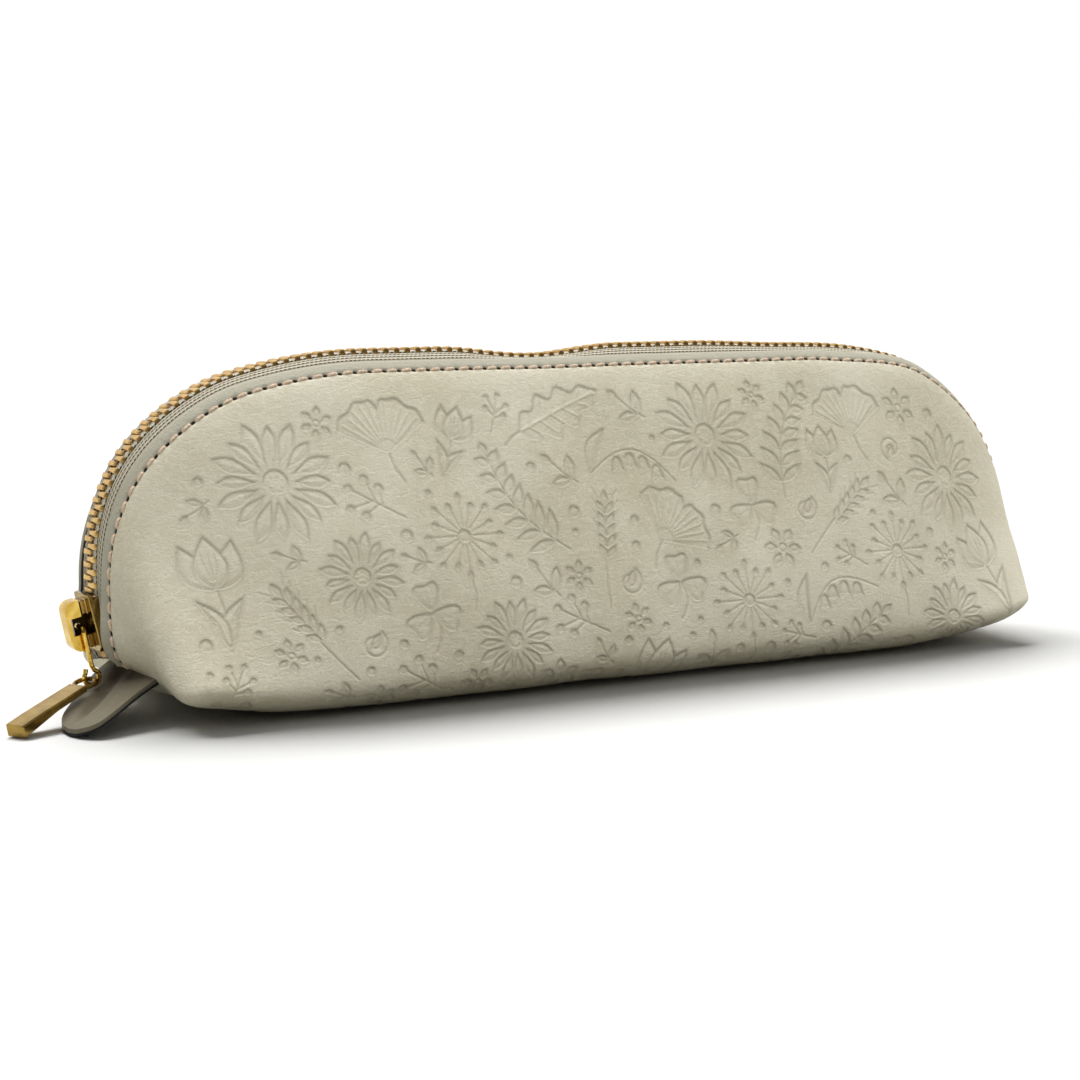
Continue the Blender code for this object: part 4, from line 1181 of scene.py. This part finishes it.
woven = Finish("woven_tape", Roughness=0.85, Specular_IOR_Level=0.2)
strip = woven.node("ShaderNodeTexCoord", output="UV")
along_tape = woven.node("ShaderNodeSeparateXYZ", None, {0: strip})
across_tape = Reading(woven, along_tape.socket.node.outputs[1])
rib_place = across_tape / rib_pitch
from_valley = (rib_place.reckon("FRACT") - 0.5).reckon("ABSOLUTE")
valley = 1.0 - from_valley.step(0.06, 0.24)
slip = rib_place.reckon("FLOOR") * 0.37 + rib_place.reckon("FRACT") * 0.5
from_dash = ((along_tape / dash_pitch + slip).reckon("FRACT") - 0.5).reckon("ABSOLUTE")
dashes = valley * (1.0 - from_dash.step(0.20, 0.38))
ply = (along_tape / 0.0004 + rib_place * 0.8).reckon("PINGPONG", 0.5) * 2.0
fuzz = woven.noise(3000.0, 2.0)
rib_tone = woven.mix(ply * 0.4 + fuzz * 0.3, (0.60, 0.55, 0.43, 1.0), (0.44, 0.40, 0.31, 1.0))
# The valleys between the ribs are darkened, and the dashes in them painted near black, as painted shade in
# the gaps of the weave
valley_shaded_tone = woven.mix(valley * 0.50, rib_tone, (0.22, 0.19, 0.14, 1.0))
gap_shaded_tone = woven.mix(dashes, valley_shaded_tone, (0.020, 0.016, 0.012, 1.0))
tape_relief = from_valley * 1.6 + ply * 0.25 - dashes * 0.5
woven_tape = woven.paint(Base_Color=gap_shaded_tone, Normal=woven.bump(tape_relief, 0.00020))

tape_runs = np.linspace(0.0, zip_length, tape_columns + 1)


def chain_tilt(run):
    """Slope by which the closed chain leans back over the crown, where the front edge is fuller."""
    return tilt_slope * smoothstep((np.asarray(run, float) - bend_length) / tilt_blend)


def along_sheet(row, depth):
    """Points under one row of the sheet's front or back edge, at the tape's own distances along the zip."""
    place = row if sign > 0 else face.shape[1] - 1 - row
    under = (face[:, place] - face_normals[:, place] * depth) * np.array([1.0, sign, 1.0])
    places = np.linspace(0.0, zip_length, face.shape[0])
    return np.stack([np.interp(tape_runs, places, under[:, axis]) for axis in range(3)], axis=-1)


for name, sign, cad_name in (("front_tape", 1.0, "front_zip_tape"), ("back_tape", -1.0, "back_zip_tape")):
    shift = row_shift(tape_runs)
    give = 1.0 if sign > 0 else 0.8
    inner_lift = tape_inner_lift + sign * tape_inner_reach * chain_tilt(tape_runs)
    inner_edge = on_zip(tape_runs, 0.0, inner_lift, give=give)
    inner_edge[:, 1] = -(tape_inner_reach + shift)
    under_edge = along_sheet(0, leather_thickness + (0.05 * mm if sign > 0 else lining_thickness + 0.1 * mm))
    tucked = along_sheet(4, leather_thickness + 0.30 * mm)
    deep = along_sheet(edge_rows - 3, leather_thickness + lining_thickness + 0.20 * mm)
    outward = np.stack([zip_line(tape_runs)[2], 0.0 * tape_runs, zip_line(tape_runs)[3]], axis=-1)
    rows, spans = [], []
    for share in np.linspace(0.0, 1.0, 9):
        bow = math.sin(math.pi * share) * tape_bow
        rows.append(inner_edge + (under_edge - inner_edge) * share + outward * bow)
        spans.append(share * 2.9 * mm)
    for row, span in ((tucked, 4.0 * mm), (deep, 6.0 * mm)):
        rows.append(row)
        spans.append(span)
    top = np.stack(rows, axis=1)
    tape_normals = grid_normals(top)
    tape_normals *= np.sign((tape_normals * outward[:, None, :]).sum(-1, keepdims=True))
    bottom = top - tape_normals * tape_thickness
    flip = np.array([1.0, sign, 1.0])
    points, faces = closed_sheet(top * flip, bottom * flip)
    strip_grid = np.stack(np.broadcast_arrays(tape_runs[:, None], np.array(spans)[None, :]), axis=-1)
    on_strip = strip_grid.reshape(-1, 2)
    tape_object = make_mesh(name, points, faces, woven_tape, strip=np.concatenate([on_strip, on_strip]))
    angle = np.linspace(0.0, 2 * math.pi, cord_sides, endpoint=False)
    ring = []
    for step in angle:
        lift = cord_lift + cord_radius * math.sin(step) + sign * cord_reach * chain_tilt(tape_runs)
        centre = on_zip(tape_runs, 0.0, lift, give=give)
        centre[:, 1] = -sign * (cord_reach + shift - cord_radius * math.cos(step))
        ring.append(centre)
    ring.append(ring[0])
    cord_grid = np.stack(ring, axis=1)
    round_cord = np.arange(cord_sides + 1)[None, :] * 0.35 * mm
    cord_strip = np.stack(np.broadcast_arrays(tape_runs[:, None], round_cord), axis=-1).reshape(-1, 2)
    cord_faces = sheet_faces(len(tape_runs), cord_sides + 1)
    cord_object = make_mesh(name + "_cord", cord_grid.reshape(-1, 3), cord_faces, woven_tape,
                            strip=cord_strip)
    for piece in (tape_object, cord_object):
        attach(piece, "pouch")
    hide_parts(cad_name)


# Teeth
# Antique brass teeth, each clamped round the bead cord, with a rounded head
# that sits between two heads of the other row.

tooth_pitch = 2.4 * mm
stop_length = 2.1 * mm
bottom_stop_length = 3.2 * mm
# Reach from the zip's middle, rise above it, drop below it and half thickness of a tooth's sections
tooth_sections = np.array([(-0.78, 0.60, 0.45, 0.24), (-0.70, 0.95, 0.80, 0.40), (-0.40, 1.18, 1.00, 0.46),
                           (0.15, 1.26, 1.10, 0.48), (0.80, 1.28, 1.10, 0.47), (1.30, 1.28, 1.10, 0.52),
                           (1.90, 1.27, 1.10, 0.60), (2.35, 1.20, 1.08, 0.62), (2.66, 1.02, 1.02, 0.60),
                           (2.86, 0.74, 0.92, 0.54), (2.96, 0.40, 0.80, 0.44)]) * mm
tooth_sides = 16
tooth_squareness = 0.34
crown_rise = 0.28 * mm
gold_from = 0.48 * mm

# The teeth are light brass on top and dark brown below: partly the antique finish worn off their tops, partly
# painted shade on their undersides
dark_brass_and_shade = (0.34, 0.200, 0.058, 1.0)
antique = Finish("antique_brass", Metallic=1.0)
patina = antique.noise(900.0, 3.0)
tooth_wear_and_shade = antique.stored("top_wear_and_shade")
worn_and_shaded_tone = antique.mix(tooth_wear_and_shade.step(0.0, 0.9), dark_brass_and_shade, (0.74, 0.50, 0.20, 1.0))
stained_tone = antique.mix(patina.step(0.45, 0.75) * 0.35, worn_and_shaded_tone, (0.42, 0.20, 0.09, 1.0))
antique_brass = antique.paint(Base_Color=stained_tone, Roughness=0.30 + patina * 0.20,
                              Normal=antique.bump(patina, 0.00004))

angle = np.linspace(0.0, 2 * math.pi, tooth_sides, endpoint=False)
ring_lift = np.sign(np.sin(angle)) * np.abs(np.sin(angle)) ** tooth_squareness
ring_along = np.sign(np.cos(angle)) * np.abs(np.cos(angle)) ** tooth_squareness


def rod_faces(start, rings, sides):
    """Faces of a closed rod whose points are numbered ring by ring."""
    faces = []
    for here in range(start, start + (rings - 1) * sides, sides):
        for side in range(sides):
            after = (side + 1) % sides
            faces.append((here + side, here + after, here + sides + after, here + sides + side))
    last = start + (rings - 1) * sides
    faces.append(tuple(range(start, start + sides))[::-1])
    faces.append(tuple(range(last, last + sides)))
    return faces


def refinish(cad_name, material):
    """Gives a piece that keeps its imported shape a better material."""
    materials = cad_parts[cad_name].data.materials
    materials.clear()
    materials.append(material)


for name, sign, offset, cad_name in (("front_teeth", -1.0, 0.0, "front_tooth_row"),
                                     ("back_teeth", 1.0, tooth_pitch / 2, "back_tooth_row")):
    last_place = zip_length - bottom_stop_length - 0.6 * mm
    centres = np.arange(stop_length + 0.9 * mm + offset, last_place, tooth_pitch)
    points, faces, top_wear_and_shade = [], [], []
    for number, centre in enumerate(centres):
        start = len(tooth_sections) * tooth_sides * number
        for reach, rise, drop, thick in tooth_sections:
            side = sign * (reach + float(row_shift(centre)))
            on_crown = float(smoothstep((min(centre, zip_length - centre) - bend_length) / tilt_blend))
            lift = np.where(ring_lift > 0, ring_lift * (rise + crown_rise * on_crown), ring_lift * drop)
            lift = lift - side * float(chain_tilt(centre))
            ring = on_zip(np.full(tooth_sides, centre), side, lift, ring_along * thick)
            points.append(ring)
            # Marks each tooth's top and its head by the middle for the lighter tone and the rest for the dark
            # one, partly wear and partly painted shade
            top_wear_and_shade.append(smoothstep((ring_lift * rise - gold_from) / (0.5 * mm)) + 0.7 * (reach < 1.0 * mm))
        faces += rod_faces(start, len(tooth_sections), tooth_sides)
    teeth = make_mesh(name, np.concatenate(points), faces, antique_brass,
                      stored={"top_wear_and_shade": np.concatenate(top_wear_and_shade)})
    teeth.data.set_sharp_from_angle(angle=math.radians(26))
    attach(teeth, "pouch")
    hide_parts(cad_name)

for cad_name in ("front_top_stop", "back_top_stop", "bottom_stop"):
    refinish(cad_name, antique_brass)


# Sewing
# A pinkish tan thread sews each edge of the sheet to the tape, with a needle
# hole between one stitch and the next.

stitch_share = 0.74
stitch_slant = 0.10 * mm
thread_radius = 0.28 * mm
stitch_rings = 13
stitch_sides = 10

tan = Finish("tan_thread", Roughness=0.7)
twist = tan.noise(2600.0, 2.0)
tan_tone = tan.mix(twist, (0.46, 0.32, 0.22, 1.0), (0.78, 0.62, 0.48, 1.0))
tan_thread = tan.paint(Base_Color=tan_tone, Normal=tan.bump(twist, 0.0001))


def stitch_path(from_front):
    """The stitch line over all columns, with the leather's normals along it."""
    places, normals = [], []
    for column in range(face.shape[0]):
        runs = down[column] if from_front else (down[column, -1] - down[column])[::-1]
        points = face[column] if from_front else face[column, ::-1]
        outward = face_normals[column] if from_front else face_normals[column, ::-1]
        places.append([np.interp(stitch_line, runs, points[:, axis]) for axis in range(3)])
        normals.append([np.interp(stitch_line, runs, outward[:, axis]) for axis in range(3)])
    return np.array(places), np.array(normals)


def along_path(values, runs, place):
    return np.stack([np.interp(place, runs, values[:, axis]) for axis in range(values.shape[1])], axis=-1)


def unit(values):
    return values / np.maximum(np.linalg.norm(values, axis=-1, keepdims=True), 1e-12)


for name, from_front in (("front_stitches", True), ("back_stitches", False)):
    path, path_normals = stitch_path(from_front)
    path_run = np.concatenate([[0.0], np.cumsum(np.linalg.norm(np.diff(path, axis=0), axis=1))])
    step = path_run[-1] / stitch_count
    centres = (np.arange(stitch_count) + 0.5) * step
    share = np.linspace(-1.0, 1.0, stitch_rings)
    ring_run = centres[:, None] + share[None, :] * stitch_share * step / 2
    middle = along_path(path, path_run, ring_run)
    normal = unit(along_path(path_normals, path_run, ring_run))
    before, after = (along_path(path, path_run, ring_run + way * 0.2 * mm) for way in (-1, 1))
    forward = unit(after - before)
    across = np.cross(normal, forward)
    rise = (0.06 - 0.70 * np.abs(share) ** 4)[:, None] * mm
    slant = share[:, None] * stitch_slant
    thick = thread_radius * (1.0 - 0.30 * share ** 4)[:, None]
    rings = []
    for side in range(stitch_sides):
        turn = 2 * math.pi * side / stitch_sides
        two_ply = 1.0 + 0.16 * np.cos(2 * (turn - share * 5.0))[:, None]
        offset = across * (thick * two_ply * 1.05 * math.cos(turn) + slant)
        rings.append(middle + offset + normal * (thick * two_ply * 0.85 * math.sin(turn) + rise))
    thread_points = np.stack(rings, axis=2).reshape(-1, 3)
    thread_faces = []
    for number in range(stitch_count):
        thread_faces += rod_faces(number * stitch_rings * stitch_sides, stitch_rings, stitch_sides)
    stitches = make_mesh(name, thread_points, thread_faces, tan_thread)
    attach(stitches, "pouch")


# Grip tabs
# A tongue of the same leather on a black backing is sewn under each end of
# the zip. The left one is twisted towards the front and lies on the table.

tab_columns, tab_rows = 41, 61
tab_rest_height = 0.30 * mm
tab_crease_depth = 1.6 * mm
tab_layers = {"backing": (0.0, 0.45 * mm), "leather": (0.47 * mm, 0.85 * mm)}
# Plan places in mm of the two sides of each tab from root to tip, and the height of its root
tab_sides = {
    "left": (((-100.6, 10.6), (-106.2, 7.0), (-113.2, -2.1),
              (-117.7, -7.7), (-119.6, -13.0), (-119.7, -17.0)),
             ((-100.6, -14.0), (-105.3, -15.7), (-110.5, -19.1),
              (-115.0, -21.8), (-117.4, -21.4), (-119.0, -19.4))),
    "right": (((101.0, -9.9), (105.0, -5.5), (110.0, 3.5), (113.2, 10.5), (114.2, 16.0), (113.6, 20.0)),
              ((101.0, 14.4), (103.6, 17.5), (106.2, 21.6), (109.5, 24.8), (111.8, 24.4), (113.2, 22.2)))}
tab_root_height = 7.1 * mm


def even_line(points, count):
    """Evenly spaced places on a smooth line through some plan points."""
    points = np.asarray(points) * mm
    for _ in range(3):
        before, after = points[:-1], points[1:]
        between = np.stack([before * 0.75 + after * 0.25, before * 0.25 + after * 0.75], axis=1)
        points = np.concatenate([points[:1], between.reshape(-1, 2), points[-1:]])
    run = np.concatenate([[0.0], np.cumsum(np.linalg.norm(np.diff(points, axis=0), axis=1))])
    return along_path(points, run, np.linspace(0.0, run[-1], count))


def tab_grid(far_side, near_side, rise):
    """Points over one face of a tab, in columns across it from root to tip."""
    far, near = even_line(far_side, tab_rows), even_line(near_side, tab_rows)
    share = np.linspace(0.0, 1.0, tab_columns)[:, None, None]
    plan = far + (near - far) * share
    reach = np.abs(plan[..., 0]) - base_half_length
    slope = (tab_root_height - tab_rest_height) / (17.4 * mm)
    z = np.maximum(tab_root_height - slope * reach, tab_rest_height) + rise
    down_tab = np.linspace(0.0, 1.0, tab_rows)
    crease = np.exp(-((share[..., 0] - 0.42) / 0.10) ** 2) * np.sin(math.pi * down_tab) ** 0.8
    z -= tab_crease_depth * crease * smoothstep((z - rise) / (3 * mm))
    return np.concatenate([plan, z[..., None]], axis=-1)


# The tabs' leather is the sheet's leather painted much darker, as painted shade
shaded_tab = Finish("shaded_tab_leather", Specular_IOR_Level=0.35)
nap = shaded_tab.noise(700.0, 4.0, 0.6)
patches = shaded_tab.noise(120.0, 3.0)
shaded_tab_tone = shaded_tab.mix(nap * 0.5 + patches * 0.5, (0.09, 0.075, 0.050, 1.0), (0.20, 0.178, 0.126, 1.0))
shaded_tab_leather = shaded_tab.paint(Base_Color=shaded_tab_tone, Roughness=0.6, Normal=shaded_tab.bump(nap, 0.0001))

for side_name, (far_side, near_side) in tab_sides.items():
    for layer, (rise, thick) in tab_layers.items():
        low = tab_grid(far_side, near_side, rise)
        high = low + np.array([0.0, 0.0, thick])
        points, faces = closed_sheet(high, low)
        material = shaded_tab_leather if layer == "leather" else black_lining
        tab = make_mesh(side_name + "_tab_" + layer + "_cut", points, faces, material)
        edge = tab.modifiers.new("edge", "BEVEL")
        edge.width = 0.18 * mm
        edge.segments = 2
        edge.limit_method = "ANGLE"
        edge.angle_limit = math.radians(50)
        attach(tab, "pouch")
        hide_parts(side_name + "_tab_" + layer)


# Slider, link and puller
# A cast and plated slider with a bent cap over its lock spring. A wire link
# goes through the cap and hooks into the eye of a bar-shaped puller.

plated = Finish("polished_brass", Metallic=1.0)
wear = plated.noise(350.0, 4.0)
fine_wear = plated.noise(2400.0, 2.0)
gold_tone = plated.mix(wear.step(0.35, 0.7), (0.62, 0.38, 0.06, 1.0), (0.86, 0.61, 0.17, 1.0))
polished_brass = plated.paint(Base_Color=gold_tone, Roughness=0.07 + wear * 0.10,
                              Normal=plated.bump(wear + fine_wear * 0.3, 0.00008))
steel = Finish("spring_steel", Metallic=1.0, Base_Color=(0.5, 0.5, 0.5, 1.0))
steel_wear = steel.noise(900.0, 2.0)
spring_steel = steel.paint(Roughness=0.25 + steel_wear * 0.2)

# Behind the cap's side window stands a dark inner leaf with a hole for the link, a sheet of painted shade for
# the shadowed inside of the cap
slider_angle = math.radians(-12.0)
slider_out = np.array([-math.cos(slider_angle), math.sin(slider_angle)])
slider_along = np.array([math.sin(slider_angle), math.cos(slider_angle)])
link_pivot = np.array([-111.29, 17.193]) * mm
leaf_half_length, leaf_half_height = 2.9 * mm, 1.75 * mm
leaf_hole = 0.62 * mm
leaf_sides = (0.75 * mm, 0.90 * mm)
leaf_corners = 24
turns = np.linspace(0.0, 2 * math.pi, leaf_corners, endpoint=False)
circle = np.stack([np.cos(turns), np.sin(turns)], axis=-1)
square = circle / np.abs(circle).max(axis=1, keepdims=True) * (leaf_half_length, leaf_half_height)
leaf_points = []
for side in leaf_sides:
    for ring in (circle * leaf_hole, square):
        flat = link_pivot + ring[:, :1] * slider_along + ring[:, 1:] * slider_out
        leaf_points.append(np.stack([flat[:, 0], np.full(len(flat), side), flat[:, 1]], axis=-1))
leaf_faces = []
for number in range(leaf_corners):
    after = (number + 1) % leaf_corners
    for low, high in ((0, 1), (1, 3), (3, 2), (2, 0)):
        low, high = low * leaf_corners, high * leaf_corners
        leaf_faces.append((low + number, low + after, high + after, high + number))
# The leaf's near black brass is painted shade
cap_shade = Finish("painted_cap_shade", Metallic=1.0, Base_Color=(0.05, 0.03, 0.01, 1.0))
painted_cap_shade = cap_shade.paint(Roughness=0.45 + cap_shade.noise(900.0, 2.0) * 0.2)
shade_leaf = make_mesh("cap_shade_leaf", np.concatenate(leaf_points), leaf_faces, painted_cap_shade,
                       smooth=False)
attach(shade_leaf, "slider")
satin = Finish("satin_brass", Metallic=1.0)
brushing = satin.noise(260.0, 4.0)
satin_tone = satin.mix(brushing.step(0.3, 0.7), (0.30, 0.19, 0.05, 1.0), (0.46, 0.31, 0.09, 1.0))
satin_brass = satin.paint(Base_Color=satin_tone, Roughness=0.16 + brushing * 0.14,
                          Normal=satin.bump(brushing, 0.00006))
refinish("slider_body", satin_brass)
refinish("puller", satin_brass)
refinish("slider_cap", polished_brass)
refinish("pull_link", polished_brass)
refinish("lock_spring", spring_steel)
